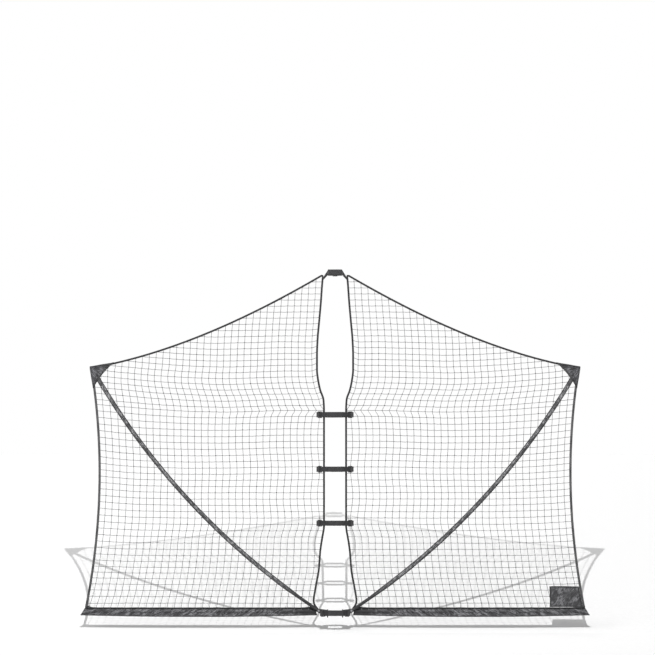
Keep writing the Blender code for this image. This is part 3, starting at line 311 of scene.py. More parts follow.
@dataclass(frozen=True)
class SewnPolyester(Finish):
    """Thin black polyester cloth, puckered by its seams, over a UV map: across, then along. Its folds carry
    painted highlights on their crests and painted shade in their creases.
    """

    # the dark tone of random patches, and the painted shade in the creases
    shadow: Colour = (0.006, 0.006, 0.007)
    face: Colour = (0.036, 0.036, 0.040)
    # painted highlight: the colour of the lit fold crests
    crest: Colour = (0.250, 0.250, 0.262)
    roughness: float = 0.50
    thread_pitch: float = 0.0011
    fold_angle: float = math.radians(38)
    fold_width: float = 0.012
    fold_length: float = 0.060
    fold_depth: float = 0.0016
    # how strongly the painted highlight shows on the crests
    shine: float = 0.8
    # how deep the painted shade in the creases goes
    gloom: float = 0.85
    # painted shade: over this length from the hub end the highlights and the face dim
    dull_length: float = 0.0
    sway: float = 1.5
    # painted highlight along the cloth's middle, over the rod, with painted shade towards its edges
    lit_middle: float = 0.0
    lit_width: float = 0.0

    def folds(self, shader: Shader, place: Signal, angle: float, layer: float) -> Signal:
        """Return long thin folds that run at an angle to the cloth's length.

        Args:
            shader: the material under construction.
            place: the place on the cloth.
            angle: the folds' angle to the cloth's length.
            layer: a number that sets one family of folds apart from the others.

        Returns:
            1 on a fold's middle and 0 away from it.
        """
        across, along, _ = shader.parts(place)
        sway = (shader.noise(place, 0.35 / self.fold_width, 2.0) - 0.5) * (self.fold_width * self.sway)
        run = along * math.cos(angle) + across * math.sin(angle)
        side = across * math.cos(angle) - along * math.sin(angle) + sway
        inputs = {0: side * (1 / self.fold_width), 1: run * (1 / self.fold_length), 2: layer}
        spot = shader.node("ShaderNodeCombineXYZ", inputs=inputs)
        return (1 - abs(shader.noise(spot, 1.0, 2.0) - 0.5) * 9.0).ramp(0.05, 0.95)

    def look(self, shader: Shader) -> Look:
        """Return a plain weave under folds with painted highlights and painted shade."""
        place = shader.place(Coordinate.SURFACE)
        across, along, _ = shader.parts(place)
        # painted highlight on one family of folds
        lit = self.folds(shader, place, self.fold_angle, 1.7)
        # painted shade in the other family of folds
        dark = self.folds(shader, place, -self.fold_angle * 0.8, 6.1)
        patchy = shader.noise(place, 0.22 / self.fold_width, 2.0).ramp(0.38, 0.62)
        lit = lit * (patchy * 0.85 + 0.15)
        # painted highlight along the middle and painted shade towards the edges
        if self.lit_width:
            middle = (1.0 - abs(across - self.lit_middle) * (1 / self.lit_width)).ramp(0.0, 0.45)
            lit = lit * middle
            patchy = patchy * (middle * 0.85 + 0.15)
        # painted shade towards the hub end
        if self.dull_length:
            lit = lit * along.ramp(self.dull_length * 0.4, self.dull_length)
            patchy = patchy * along.ramp(self.dull_length * 0.2, self.dull_length * 0.9)
        weave = across.wave(self.thread_pitch) * along.wave(self.thread_pitch)
        # random patches of tone, darkened by the painted shade in the creases
        base = shader.blend((patchy * 0.6 + 0.4) * (1 - dark * self.gloom), self.shadow, self.face)
        normal = shader.bump(weave, self.thread_pitch * 0.06)
        normal = shader.bump(lit - dark * 0.7, self.fold_depth, normal)
        return shader.blend(lit * self.shine, base, self.crest), self.roughness + dark * 0.18, normal


@dataclass(frozen=True)
class Webbing(Finish):
    """Flat woven polypropylene webbing with cross ribs, over a UV map: across, then along."""

    dark: Colour = (0.008, 0.008, 0.009)
    light: Colour = (0.040, 0.040, 0.043)
    roughness: float = 0.62
    rib_pitch: float = 0.0024
    row_pitch: float = 0.0032

    def look(self, shader: Shader) -> Look:
        """Return a herringbone of ribs with painted shade between them, and some dust."""
        across, along, _ = shader.parts(shader.place(Coordinate.SURFACE))
        row = across.wave(self.row_pitch)
        rib = (along + row * (self.rib_pitch * 0.35)).wave(self.rib_pitch) * 0.5 + 0.5
        dust = shader.noise(shader.place(Coordinate.OBJECT), 60.0, 4.0)
        height = rib * 0.7 + abs(row) * 0.3
        # painted shade: darker down the ribs into the grooves; the dust lightens it
        colour = shader.blend(height * dust.ramp(0.25, 0.8), self.dark, self.light)
        return colour, self.roughness + dust * 0.2, shader.bump(height, self.rib_pitch * 0.22)


@dataclass(frozen=True)
class BraidedCord(Finish):
    """Braided cord, over a UV map: turns round the cord, then metres along it."""

    dark: Colour
    light: Colour
    roughness: float = 0.66
    plait: float = 0.0075
    strands: int = 8

    def look(self, shader: Shader) -> Look:
        """Return plaits that run both ways round the cord, with painted shade between them."""
        turn, along, _ = shader.parts(shader.place(Coordinate.SURFACE))
        place = shader.place(Coordinate.OBJECT)
        turned, run = turn * (math.tau * self.strands / 2), along * (math.tau / self.plait)
        plait = (turned + run).sine().larger((turned - run).sine())
        fuzz = shader.noise(place, 900.0, 3.0)
        patch = shader.noise(place, 14.0, 2.0)
        # painted shade: darker between the plaits; the fuzz and patches are random tone
        share = (plait * 0.5 + 0.5) * (fuzz * 0.6 + 0.4) * patch.ramp(0.2, 0.75)
        normal = shader.bump(plait * 0.8 + fuzz * 0.2, self.plait * 0.12)
        return shader.blend(share, self.dark, self.light), self.roughness + fuzz * 0.15, normal


@dataclass(frozen=True)
class Twine(Finish):
    """Thin twisted twine, a little faded and uneven."""

    dark: Colour
    light: Colour
    lay: float = 0.006

    def look(self, shader: Shader) -> Look:
        """Return a fine twist with painted shade in its grooves, under a slow fade."""
        place = shader.place(Coordinate.OBJECT)
        across, depth, height = shader.parts(place)
        twist = (across + height + depth * 0.7).wave(self.lay) * 0.5 + 0.5
        fade = shader.noise(place, 9.0, 3.0)
        # painted shade along the twist's grooves; the fade is random tone
        colour = shader.blend(fade.ramp(0.3, 0.7) * 0.7 + twist * 0.3, self.dark, self.light)
        return colour, 0.72 + fade * 0.15, shader.bump(twist, self.lay * 0.06)


@dataclass(frozen=True)
class MouldedPlastic(Finish):
    """Injection-moulded nylon."""

    body: Colour = (0.013, 0.013, 0.014)
    rubbed: Colour = (0.050, 0.050, 0.052)

    def look(self, shader: Shader) -> Look:
        """Return a fine spark-eroded grain with rubbed high spots."""
        place = shader.place(Coordinate.OBJECT)
        cloud = shader.noise(place, 45.0, 4.0, 0.3)
        scuff = shader.noise(shader.place(Coordinate.OBJECT, (1.0, 1.0, 0.2)), 260.0, 2.0)
        mask = scuff.ramp(0.60, 0.74) * cloud.ramp(0.45, 0.65)
        normal = shader.bump(shader.noise(place, 1500.0, 2.0), 0.00008)
        return shader.blend(mask * 0.8, self.body, self.rubbed), 0.40 + cloud * 0.12 + mask * 0.15, normal


@dataclass(frozen=True)
class PultrudedRod(Finish):
    """Fibreglass rod."""

    resin: Colour = (0.018, 0.018, 0.020)
    fibre: Colour = (0.075, 0.075, 0.080)

    def look(self, shader: Shader) -> Look:
        """Return fibres that run along the rod."""
        fibres = shader.noise(shader.place(Coordinate.OBJECT, (0.06, 1.0, 0.06)), 1400.0, 2.0)
        cloud = shader.noise(shader.place(Coordinate.OBJECT), 30.0, 2.0)
        colour = shader.blend(fibres.ramp(0.4, 0.7) * cloud, self.resin, self.fibre)
        return colour, 0.28 + cloud * 0.15, shader.bump(fibres, 0.00005)


@dataclass(frozen=True)
class Rubber(Finish):
    """Soft moulded rubber of the rods' end caps."""

    body: Colour = (0.015, 0.015, 0.015)
    dusty: Colour = (0.055, 0.053, 0.050)

    def look(self, shader: Shader) -> Look:
        """Return dusty rubber with a fine grain."""
        place = shader.place(Coordinate.OBJECT)
        dust = shader.noise(place, 120.0, 4.0)
        colour = shader.blend(dust.ramp(0.5, 0.8), self.body, self.dusty)
        return colour, 0.68 + dust * 0.2, shader.bump(shader.noise(place, 1800.0, 2.0), 0.00006)


@dataclass(frozen=True)
class ZincSteel(Finish):
    """Zinc-plated steel."""

    metallic: ClassVar[float] = 1.0
    plated: Colour = (0.30, 0.30, 0.31)
    dull: Colour = (0.15, 0.15, 0.16)

    def look(self, shader: Shader) -> Look:
        """Return spangled plating over a fine drawn finish."""
        spangle = shader.noise(shader.place(Coordinate.OBJECT), 320.0, 3.0)
        drawn = shader.noise(shader.place(Coordinate.OBJECT, (1.0, 0.08, 1.0)), 2600.0, 1.0)
        colour = shader.blend(spangle.ramp(0.35, 0.75), self.plated, self.dull)
        return colour, 0.30 + spangle * 0.2, shader.bump(drawn, 0.00004)


@dataclass(frozen=True)
class Backdrop:
    """Plain paper: white where the camera or a gloss sees it, less the object's shadow.

    Its lamp level is the shadow lamp's power over pi squared.
    """

    colour: float = 0.90
    seen: float = 0.97
    lamp_level: float = 131.7
    other_level: float = 0.455

    def lamp_share(self, shader: Shader) -> Signal:
        """Return how strongly the shadow lamp lights each place of the paper.

        Args:
            shader: the material under construction.

        Returns:
            The lamp's share of the light.
        """

        def vector(operation: str, first: Any, second: Signal | None = None, output: str = "Value") -> Signal:
            """Add a Vector Math node."""
            inputs = {0: first} if second is None else {0: first, 1: second}
            return shader.node("ShaderNodeVectorMath", {"operation": operation}, inputs, output)

        towards = vector("SUBTRACT", SHADOW_LAMP, shader.place(Coordinate.OBJECT), "Vector")
        upright = shader.node("ShaderNodeNewGeometry", output="True Normal")
        return abs(vector("DOT_PRODUCT", towards, upright)) * vector("LENGTH", towards) ** -3.0

    def build(self) -> Material:
        """Build the material, whose glow fills in what the lamps leave short of white."""
        shader = Shader("studio_paper")
        shown = shader.rays("Camera", "Glossy")
        level = (self.lamp_share(shader) * self.lamp_level + self.other_level) * self.seen
        speck = shader.noise(shader.place(Coordinate.OBJECT), 40.0, 2.0).ramp(0.4, 0.6) * 0.02 + 0.98
        tone = shown * ((level.larger(1.0) ** -1.0) * self.seen) + (1.0 - shown) * self.colour
        shader.fill(shader.surface, {
            "Base Color": shader.grey(tone * speck), "Roughness": 1.0, "Specular IOR Level": 0.0,
            "Emission Color": shader.grey(shown * (1.0 - level).larger(0.0)), "Emission Strength": 1.0,
        })
        shader.clear_from_behind()
        return shader.material


class Finishes:
    """Every material of the object, built once."""

    def __init__(self) -> None:
        """Build them all."""
        # painted shade dims the band towards the hub
        self.band = SewnPolyester("band_cloth", fold_width=0.0125, dull_length=0.22).build()
        # painted highlight: a brighter face and crests, strongest along the middle over the rod; painted
        # shade at the edges and towards the hub
        self.sleeve = SewnPolyester(
            "sleeve_cloth", fold_angle=math.radians(13), fold_width=0.0075, fold_length=0.055,
            dull_length=0.42, crest=(0.42, 0.42, 0.43), face=(0.060, 0.060, 0.064),
            lit_middle=0.0190, lit_width=0.0175, sway=1.0,
        ).build()
        # painted highlights on the pocket's fold crests and full painted shade in its creases
        self.pocket = SewnPolyester(
            "pocket_cloth", fold_angle=math.radians(2), fold_width=0.0130, fold_length=0.240, sway=0.5,
            face=(0.020, 0.020, 0.023), crest=(0.20, 0.20, 0.215), gloom=1.0, shine=1.0, fold_depth=0.0030,
        ).build()
        self.patch = SewnPolyester("patch_cloth", shine=0.60, gloom=0.9).build()
        self.hem = SewnPolyester(
            "hem_binding", face=(0.010, 0.010, 0.011), crest=(0.020, 0.020, 0.022), fold_depth=0.0004,
        ).build()
        self.webbing = Webbing("woven_webbing").build()
        self.thread = Twine("sewing_thread", (0.035, 0.035, 0.038), (0.09, 0.09, 0.095), 0.002).build()
        self.inner_cord = BraidedCord("black_braid", (0.004, 0.004, 0.005), (0.022, 0.022, 0.024)).build()
        self.outer_cord = BraidedCord("grey_braid", (0.020, 0.020, 0.022), (0.150, 0.148, 0.150)).build()
        self.twine = Twine("net_twine", (0.070, 0.070, 0.074), (0.17, 0.17, 0.175)).build()
        # painted shade: the knots take a darker copy of the twine's colours
        self.knot = Twine("net_knot", (0.030, 0.030, 0.033), (0.085, 0.085, 0.088)).build()
        self.plastic = MouldedPlastic("moulded_nylon").build()
        self.rod = PultrudedRod("pultruded_rod").build()
        self.rubber = Rubber("cap_rubber").build()
        self.steel = ZincSteel("zinc_plated_steel").build()


# Meshes


def mesh_object(name: str, mesh: Mesh, material: Material, body: str, slot: str, *nodes: str) -> Piece:
    """Place a finished mesh as a piece of the object.

    Args:
        name: the piece's name.
        mesh: its mesh, in the row frame.
        material: its material.
        body: the CAD body that it rides on.
        slot: the record's material slot; not used.
        nodes: the CAD nodes that it replaces.

    Returns:
        The new object.
    """
    if not mesh.materials:
        mesh.materials.append(material)
    piece = bpy.data.objects.new(name, mesh)
    bpy.context.collection.objects.link(piece)
    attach(piece, body)
    if nodes:
        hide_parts(*nodes)
    LOG.info("%s: %d faces on %s", name, len(mesh.polygons), body)
    return piece


def finished(bm: bmesh.types.BMesh, name: str) -> Mesh:
    """Turn a worked mesh into a smooth one with its faces outwards.

    Args:
        bm: the mesh under work, which is freed.
        name: the new mesh's name.

    Returns:
        The new mesh.
    """
    bmesh.ops.recalc_face_normals(bm, faces=bm.faces)
    mesh = bpy.data.meshes.new(name)
    bm.to_mesh(mesh)
    bm.free()
    mesh.shade_smooth()
    return mesh


def close_rings(
    name: str, rings: Sequence[Path], around: Sequence[float], along: Sequence[float],
    closed: bool = False,
) -> Mesh:
    """Skin a row of closed rings and give it a UV map.

    Args:
        name: the mesh's name.
        rings: rings of points, each with the same number.
        around: the UV across value of each point of a ring, and of its return to the first.
        along: the UV along value of each ring, and of the return to the first where closed.
        closed: whether the last ring joins the first; if not, both ends get a face.

    Returns:
        A smooth closed mesh.
    """
    bm = bmesh.new()
    layer = bm.loops.layers.uv.new("UVMap")

    def add_face(corners: Sequence[bmesh.types.BMVert], marks: Sequence[Pair]) -> None:
        """Add one face with its UV marks."""
        for loop, mark in zip(bm.faces.new(corners).loops, marks):
            loop[layer].uv = mark

    rows = [[bm.verts.new(point) for point in ring] for ring in rings]
    count = len(rows[0])
    for i in range(len(rows) if closed else len(rows) - 1):
        low, high = rows[i], rows[(i + 1) % len(rows)]
        for k in range(count):
            ahead = (k + 1) % count
            marks = [(around[k + a], along[i + b]) for a, b in ((0, 0), (1, 0), (1, 1), (0, 1))]
            add_face((low[k], low[ahead], high[ahead], high[k]), marks)
    if not closed:
        for row, mark in ((rows[0], along[0]), (rows[-1], along[-1])):
            add_face(row, [(around[0], mark)] * count)
    return finished(bm, name)


def polyline_mesh(
    name: str, lines: Iterable[Path], flags: Sequence[bool] = (), girths: Sequence[float] = (),
) -> Mesh:
    """Make a mesh of loose edges, one chain for each line.

    Args:
        name: the mesh's name.
        lines: the chains of points.
        flags: the value of the attribute named knot at each point, in order.
        girths: the value of the attribute named girth at each point, in order.

    Returns:
        The wire mesh.
    """
    points: list[Vector] = []
    edges: list[tuple[int, int]] = []
    for line in lines:
        edges.extend((len(points) + k, len(points) + k + 1) for k in range(len(line) - 1))
        points.extend(line)
    mesh = bpy.data.meshes.new(name)
    mesh.from_pydata(points, edges, [])
    for label, kind, values in (("knot", "BOOLEAN", flags), ("girth", "FLOAT", girths)):
        if values:
            mesh.attributes.new(label, kind, "POINT").data.foreach_set("value", list(values))
    return mesh


class Grower(TreeBuilder):
    """A Geometry Nodes tree with named inputs, which turns one mesh into another."""

    def __init__(self, name: str) -> None:
        """Start a tree that takes and gives geometry."""
        super().__init__(bpy.data.node_groups.new(name, "GeometryNodeTree"))
        self.identifiers: dict[str, str] = {}
        for way in ("INPUT", "OUTPUT"):
            self.tree.interface.new_socket("Geometry", in_out=way, socket_type="NodeSocketGeometry")
        self.start = self.tree.nodes.new("NodeGroupInput")

    def given(self, name: str = "Geometry") -> Signal:
        """Return an input of the tree."""
        return Signal(self, self.start.outputs[name])

    def size(self, name: str, kind: str = "Float") -> Signal:
        """Add a named input and return it."""
        made = self.tree.interface.new_socket(name, in_out="INPUT", socket_type=f"NodeSocket{kind}")
        self.identifiers[name] = made.identifier
        return self.given(name)

    def skinned(self, geometry: Signal, material: Material) -> Signal:
        """Shade a mesh smooth and give it a material."""
        smooth = self.node("GeometryNodeSetShadeSmooth", inputs={"Geometry": geometry})
        return self.node("GeometryNodeSetMaterial", inputs={"Geometry": smooth, "Material": material})

    def scattered(self, points: Signal, instance: Signal, material: Any, **turns: Signal) -> Signal:
        """Put a copy of a mesh at each point.

        Args:
            points: the points.
            instance: the mesh.
            material: the copies' material.
            turns: the copies' Rotation and Scale.

        Returns:
            The copies as plain geometry.
        """
        inputs = {"Points": points, "Instance": instance, **turns}
        copies = self.node("GeometryNodeInstanceOnPoints", inputs=inputs)
        return self.skinned(self.node("GeometryNodeRealizeInstances", inputs={"Geometry": copies}), material)

    def close(self, geometry: Signal | list[Signal]) -> None:
        """Send the geometry out of the tree."""
        self.fill(self.tree.nodes.new("NodeGroupOutput"), {0: geometry})

    def grow(self, name: str, source: Mesh, values: dict[str, Any]) -> Mesh:
        """Run the tree on a mesh and return the plain result.

        Args:
            name: the new mesh's name.
            source: the mesh that the tree starts from.
            values: the named inputs.

        Returns:
            The finished mesh.
        """
        carrier = bpy.data.objects.new(name, source)
        bpy.context.collection.objects.link(carrier)
        modifier = carrier.modifiers.new("grow", "NODES")
        modifier.node_group = self.tree
        for key, value in values.items():
            modifier[self.identifiers[key]] = value
        depsgraph = bpy.context.evaluated_depsgraph_get()
        mesh = bpy.data.meshes.new_from_object(carrier.evaluated_get(depsgraph))
        mesh.name = name
        bpy.data.objects.remove(carrier)
        bpy.data.meshes.remove(source)
        return mesh


def netting_tree(strand: Material, knot: Material) -> Grower:
    """Build the tree that turns strand lines into twine with a knot at each crossing.

    Args:
        strand: the twine's material.
        knot: the knots' material.

    Returns:
        The tree.
    """
    grower = Grower("netting")
    radius, sides = grower.size("Twine Radius"), grower.size("Twine Sides", "Int")
    knot_radius, seed = grower.size("Knot Radius"), grower.size("Seed", "Int")
    wire = grower.given()
    girth, flag = (
        grower.node("GeometryNodeInputNamedAttribute", {"data_type": kind}, {"Name": name})
        for kind, name in (("FLOAT", "girth"), ("BOOLEAN", "knot"))
    )
    curve = grower.node("GeometryNodeMeshToCurve", inputs={"Mesh": wire})
    curve = grower.node("GeometryNodeSetCurveRadius", inputs={"Curve": curve, "Radius": girth})
    inputs = {"Resolution": sides, "Radius": radius}
    ring = grower.node("GeometryNodeCurvePrimitiveCircle", {"mode": "RADIUS"}, inputs)
    inputs = {"Curve": curve, "Profile Curve": ring, "Fill Caps": True}
    tubes = grower.skinned(grower.node("GeometryNodeCurveToMesh", inputs=inputs), strand)
    points = grower.node("GeometryNodeMeshToPoints", inputs={"Mesh": wire, "Selection": flag})
    lump = grower.node("GeometryNodeMeshIcoSphere", inputs={"Radius": knot_radius, "Subdivisions": 1})
    turn, spread = (
        grower.node(
            "FunctionNodeRandomValue", {"data_type": "FLOAT_VECTOR"}, {"Min": low, "Max": high, "Seed": seed},
        )
        for low, high in (((-0.5, -3.1, -0.5), (0.5, 3.1, 0.5)), ((0.8, 0.65, 0.8), (1.3, 0.95, 1.3)))
    )
    lumps = grower.scattered(points, lump, knot, Rotation=turn, Scale=spread)
    grower.close(grower.node("GeometryNodeJoinGeometry", inputs={"Geometry": [tubes, lumps]}))
    return grower


def stitching_tree(thread: Material) -> Grower:
    """Build the tree that sews evenly spaced stitches along lines.

    Args:
        thread: the stitches' material.

    Returns:
        The tree.
    """
    grower = Grower("stitching")
    pitch, length = grower.size("Stitch Pitch"), grower.size("Stitch Length")
    radius = grower.size("Thread Radius")
    curve = grower.node("GeometryNodeMeshToCurve", inputs={"Mesh": grower.given()})
    points = grower.node("GeometryNodeCurveToPoints", {"mode": "LENGTH"}, {"Curve": curve, "Length": pitch})
    turn = Signal(grower, points.socket.node.outputs["Rotation"])
    inputs = {"Vertices": 5, "Radius": radius, "Depth": length}
    stitch = grower.node("GeometryNodeMeshCylinder", {"fill_type": "TRIANGLE_FAN"}, inputs)
    grower.close(grower.scattered(points, stitch, thread, Rotation=turn))
    return grower


# Curves


def evenly(start: float, end: float, count: int) -> list[float]:
    """Return count + 1 evenly spaced numbers from start to end."""
    return [start + (end - start) * k / count for k in range(count + 1)]


def smooth_curve(knots: Knots, value: float) -> float:
    """Read a smooth curve through (place, height) knots that never overshoots them.

    Args:
        knots: the knots, by rising place.
        value: the place to read.

    Returns:
        The height there.
    """
    if value <= knots[0][0]:
        return knots[0][1]
    if value >= knots[-1][0]:
        return knots[-1][1]
    index = max(k for k in range(len(knots) - 1) if knots[k][0] <= value)
    slopes = [(b[1] - a[1]) / (b[0] - a[0]) for a, b in zip(knots, knots[1:])]

    def slope_at(k: int) -> float:
        """Return the curve's slope at a knot."""
        if k in (0, len(slopes)):
            return slopes[min(k, len(slopes) - 1)]
        before, after = slopes[k - 1], slopes[k]
        return 0.0 if before * after <= 0 else 2 * before * after / (before + after)

    (start, low), (end, high) = knots[index], knots[index + 1]
    t = (value - start) / (end - start)
    return (
        low * (1 + 2 * t) * (1 - t) ** 2 + slope_at(index) * (end - start) * t * (1 - t) ** 2
        + high * t * t * (3 - 2 * t) + slope_at(index + 1) * (end - start) * t * t * (t - 1)
    )


def distances(path: Path, closed: bool = False) -> list[float]:
    """Return how far along a path each of its points lies.

    Args:
        path: the points.
        closed: whether the way back to the first is added at the end.

    Returns:
        The distances, which start at 0.
    """
    ahead = [*path[1:], path[0]] if closed else path[1:]
    marks = [0.0]
    for a, b in zip(path, ahead):
        marks.append(marks[-1] + (b - a).length)
    return marks


def directions(path: Path, closed: bool = False) -> list[Vector]:
    """Return a path's direction at each of its points.

    Args:
        path: the points.
        closed: whether the last one leads on to the first.

    Returns:
        A unit vector for each point.
    """
    before = [path[-1] if closed else path[0], *path[:-1]]
    after = [*path[1:], path[0] if closed else path[-1]]
    return [(b - a).normalized() for a, b in zip(before, after)]


def resample(path: Path, pitch: float) -> list[Vector]:
    """Space points evenly along a path, ends included.

    Args:
        path: the points.
        pitch: about how far apart the new ones are.

    Returns:
        The new points.
    """
    lengths = distances(path)
    points, index = [], 0
    for target in evenly(0.0, lengths[-1], max(2, round(lengths[-1] / pitch))):
        while index < len(path) - 2 and lengths[index + 1] < target:
            index += 1
        span = lengths[index + 1] - lengths[index] or 1.0
        points.append(path[index].lerp(path[index + 1], (target - lengths[index]) / span))
    return points


def relaxed(path: Path, rounds: int) -> list[Vector]:
    """Round a path's corners by averaging each point with its neighbours.

    Args:
        path: the points.
        rounds: how often that is done.

    Returns:
        The softer path.
    """
    points = [point.copy() for point in path]
    for _ in range(rounds):
        middle = [(a + b * 2 + c) / 4 for a, b, c in zip(points, points[1:], points[2:])]
        points = [points[0], *middle, points[-1]]
    return points


def oval(centre: Vector, across: Vector, deep: Vector, count: int) -> list[Vector]:
    """Return a ring round a centre: across is its half axis to the first point, deep the other."""
    turns = [math.tau * k / count for k in range(count)]
    return [centre + across * math.cos(turn) + deep * math.sin(turn) for turn in turns]


def soft_noise(place: Sequence[float], pitch: float, seed: float) -> float:
    """Return smooth noise about zero at a place, with features a pitch apart."""
    return noise.noise(Vector(place) / pitch + Vector((seed, seed * 1.7, seed * 2.3)))


def smooth_step(low: float, high: float, value: float) -> float:
    """Return 0 below low, 1 above high and a smooth rise between."""
    share = min(1.0, max(0.0, (value - low) / (high - low)))
    return share * share * (3 - 2 * share)


def quarter_turn(direction: Vector) -> Vector:
    """Return a flat direction turned a quarter turn to its left."""
    return Vector((-direction.y, direction.x))


@dataclass(frozen=True)
class WingOutline:
    """The four edges of a wing, in its own plane: distance from the axis, and height.

    The inner edge stands in at each strap and bulges below the lowest and above the
    highest, by shares of the way there and of the bulge.
    """

    reach: float = 1.801
    top: float = 2.499
    shoulder: float = 1.808
    foot_reach: float = 1.833
    foot: float = 0.0445
    top_sag: float = 0.0877
    top_sag_skew: float = 0.10
    outer_bow: float = 0.0790
    outer_bow_skew: float = 0.01
    cinch: float = 0.0815
    bulge: float = 0.052
    lowest_cinch: float = 0.634
    highest_cinch: float = 1.490
    hub: Pair = (0.120, 0.018)
    tip_inset: float = 0.0294
    tip_drop: float = 0.0431
    past_lean: float = 0.16
    past_rate: float = 9.0
    past_bow: float = 0.4
    past_drift: float = 0.30
    foot_shares: Knots = ((0.15, 1.50), (0.33, 1.12), (0.50, 0.74), (0.73, 0.52), (0.90, 0.20))
    head_shares: Knots = (
        (0.08, 0.07), (0.155, 0.55), (0.23, 0.85), (0.30, 1.00), (0.41, 1.00),
        (0.52, 0.92), (0.665, 0.675), (0.81, 0.43), (0.90, 0.31), (1.00, 0.15),
    )

    def knots(self) -> list[Pair]:
        """Return the inner edge as knots of height and distance."""
        low = [(a * self.lowest_cinch, self.cinch + b * self.bulge) for a, b in self.foot_shares]
        rise = self.top - self.highest_cinch
        high = [(self.highest_cinch + a * rise, self.cinch + b * self.bulge) for a, b in self.head_shares]
        return [*low, (self.lowest_cinch, self.cinch), (self.highest_cinch, self.cinch), *high]

    def inner(self, height: float) -> float:
        """Return the inner edge's distance from the axis at a height."""
        return smooth_curve(self.knots(), height)

    def corner(self) -> Vector:
        """Return the top inner corner."""
        return Vector((self.knots()[-1][1], self.top))

    def tip(self) -> Vector:
        """Return the spar's tip."""
        return Vector((self.reach - self.tip_inset, self.shoulder - self.tip_drop))

    def roof(self, reach: float) -> float:
        """Return the top edge's height at a distance from the axis."""
        start = self.corner()
        share = (reach - start.x) / (self.reach - start.x)
        sag = 4 * self.top_sag * share * (1 - share) * (1 + self.top_sag_skew * (2 * share - 1))
        return start.y + share * (self.shoulder - start.y) - sag

    def outer(self, height: float) -> float:
        """Return the outer edge's distance, carried on past its top for the net.

        Args:
            height: the height.

        Returns:
            The distance from the axis.
        """
        share = (self.shoulder - height) / (self.shoulder - self.foot)
        if share < 0:
            lean = self.past_lean * (1 - math.exp(share * self.past_rate))
            return self.reach - self.outer_bow * self.past_bow * lean + share * self.past_drift
        chord = self.reach + share * (self.foot_reach - self.reach)
        skew = 1 - self.outer_bow_skew * (2 * share - 1)
        return chord - 4 * self.outer_bow * share * (1 - share) * skew


# The wings


@dataclass
class Kit:
    """What every sub-assembly shares: the wings' outline, the finishes and the node trees."""

    outline: WingOutline
    finishes: Finishes
    netting: Grower
    stitching: Grower

    def sew(
        self, name: str, lines: Iterable[Path], body: str, slot: str = FABRIC,
        pitch: float = 0.0046, length: float = 0.0031, radius: float = 0.00042,
    ) -> Piece:
        """Sew rows of stitches along lines.

        Args:
            name: the stitches' name.
            lines: the rows, as points on the cloth.
            body: the body that carries the cloth.
            slot: the record's material slot.
            pitch: the distance from stitch to stitch.
            length: a stitch's length.
            radius: the thread's radius.

        Returns:
            The new piece.
        """
        values = {"Stitch Pitch": pitch, "Stitch Length": length, "Thread Radius": radius}
        mesh = self.stitching.grow(name, polyline_mesh(name, lines), values)
        return mesh_object(name, mesh, self.finishes.thread, body, slot)


@dataclass
class WingPart:
    """A sub-assembly of one wing."""

    side: Side
    kit: Kit

    @property
    def edge(self) -> WingOutline:
        """Return the wing's edges."""
        return self.kit.outline

    def seed(self, left: float, right: float) -> float:
        """Return the noise seed of this wing."""
        return left if self.side is Side.LEFT else right

    def at(self, reach: float, depth: float, height: float) -> Vector:
        """Turn a place in the wing's plane into a point of the frame."""
        return Vector((self.side.value * reach, depth, height))

    def name(self, piece: str) -> str:
        """Return a piece's full name."""
        return f"{self.side.label}_{piece}"

    def cloth(
        self, piece: str, mesh: Mesh, body: str, material: Material | None = None, node: str = "",
    ) -> Piece:
        """Place a cloth piece on one of the wing's bodies.

        Args:
            piece: its name, without the side.
            mesh: its mesh.
            body: the body, without the side.
            material: its material, or nothing for a hem's.
            node: the CAD node that it replaces, if any, without the side.

        Returns:
            The new piece.
        """
        nodes = [self.name(node)] if node else []
        finish = material or self.kit.finishes.hem
        return mesh_object(self.name(piece), mesh, finish, self.name(body), FABRIC, *nodes)

    def sew(self, piece: str, lines: Iterable[Path], body: str) -> Piece:
        """Sew rows of stitches on one of the wing's bodies."""
        return self.kit.sew(self.name(piece), lines, self.name(body))

    def fold_with_net(self, piece: Piece, keep: float = 0.2) -> None:
        """Give the piece its own copy of its mesh."""
        tuple(self.at(self.edge.corner().x, 0, 0))
        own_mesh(piece)


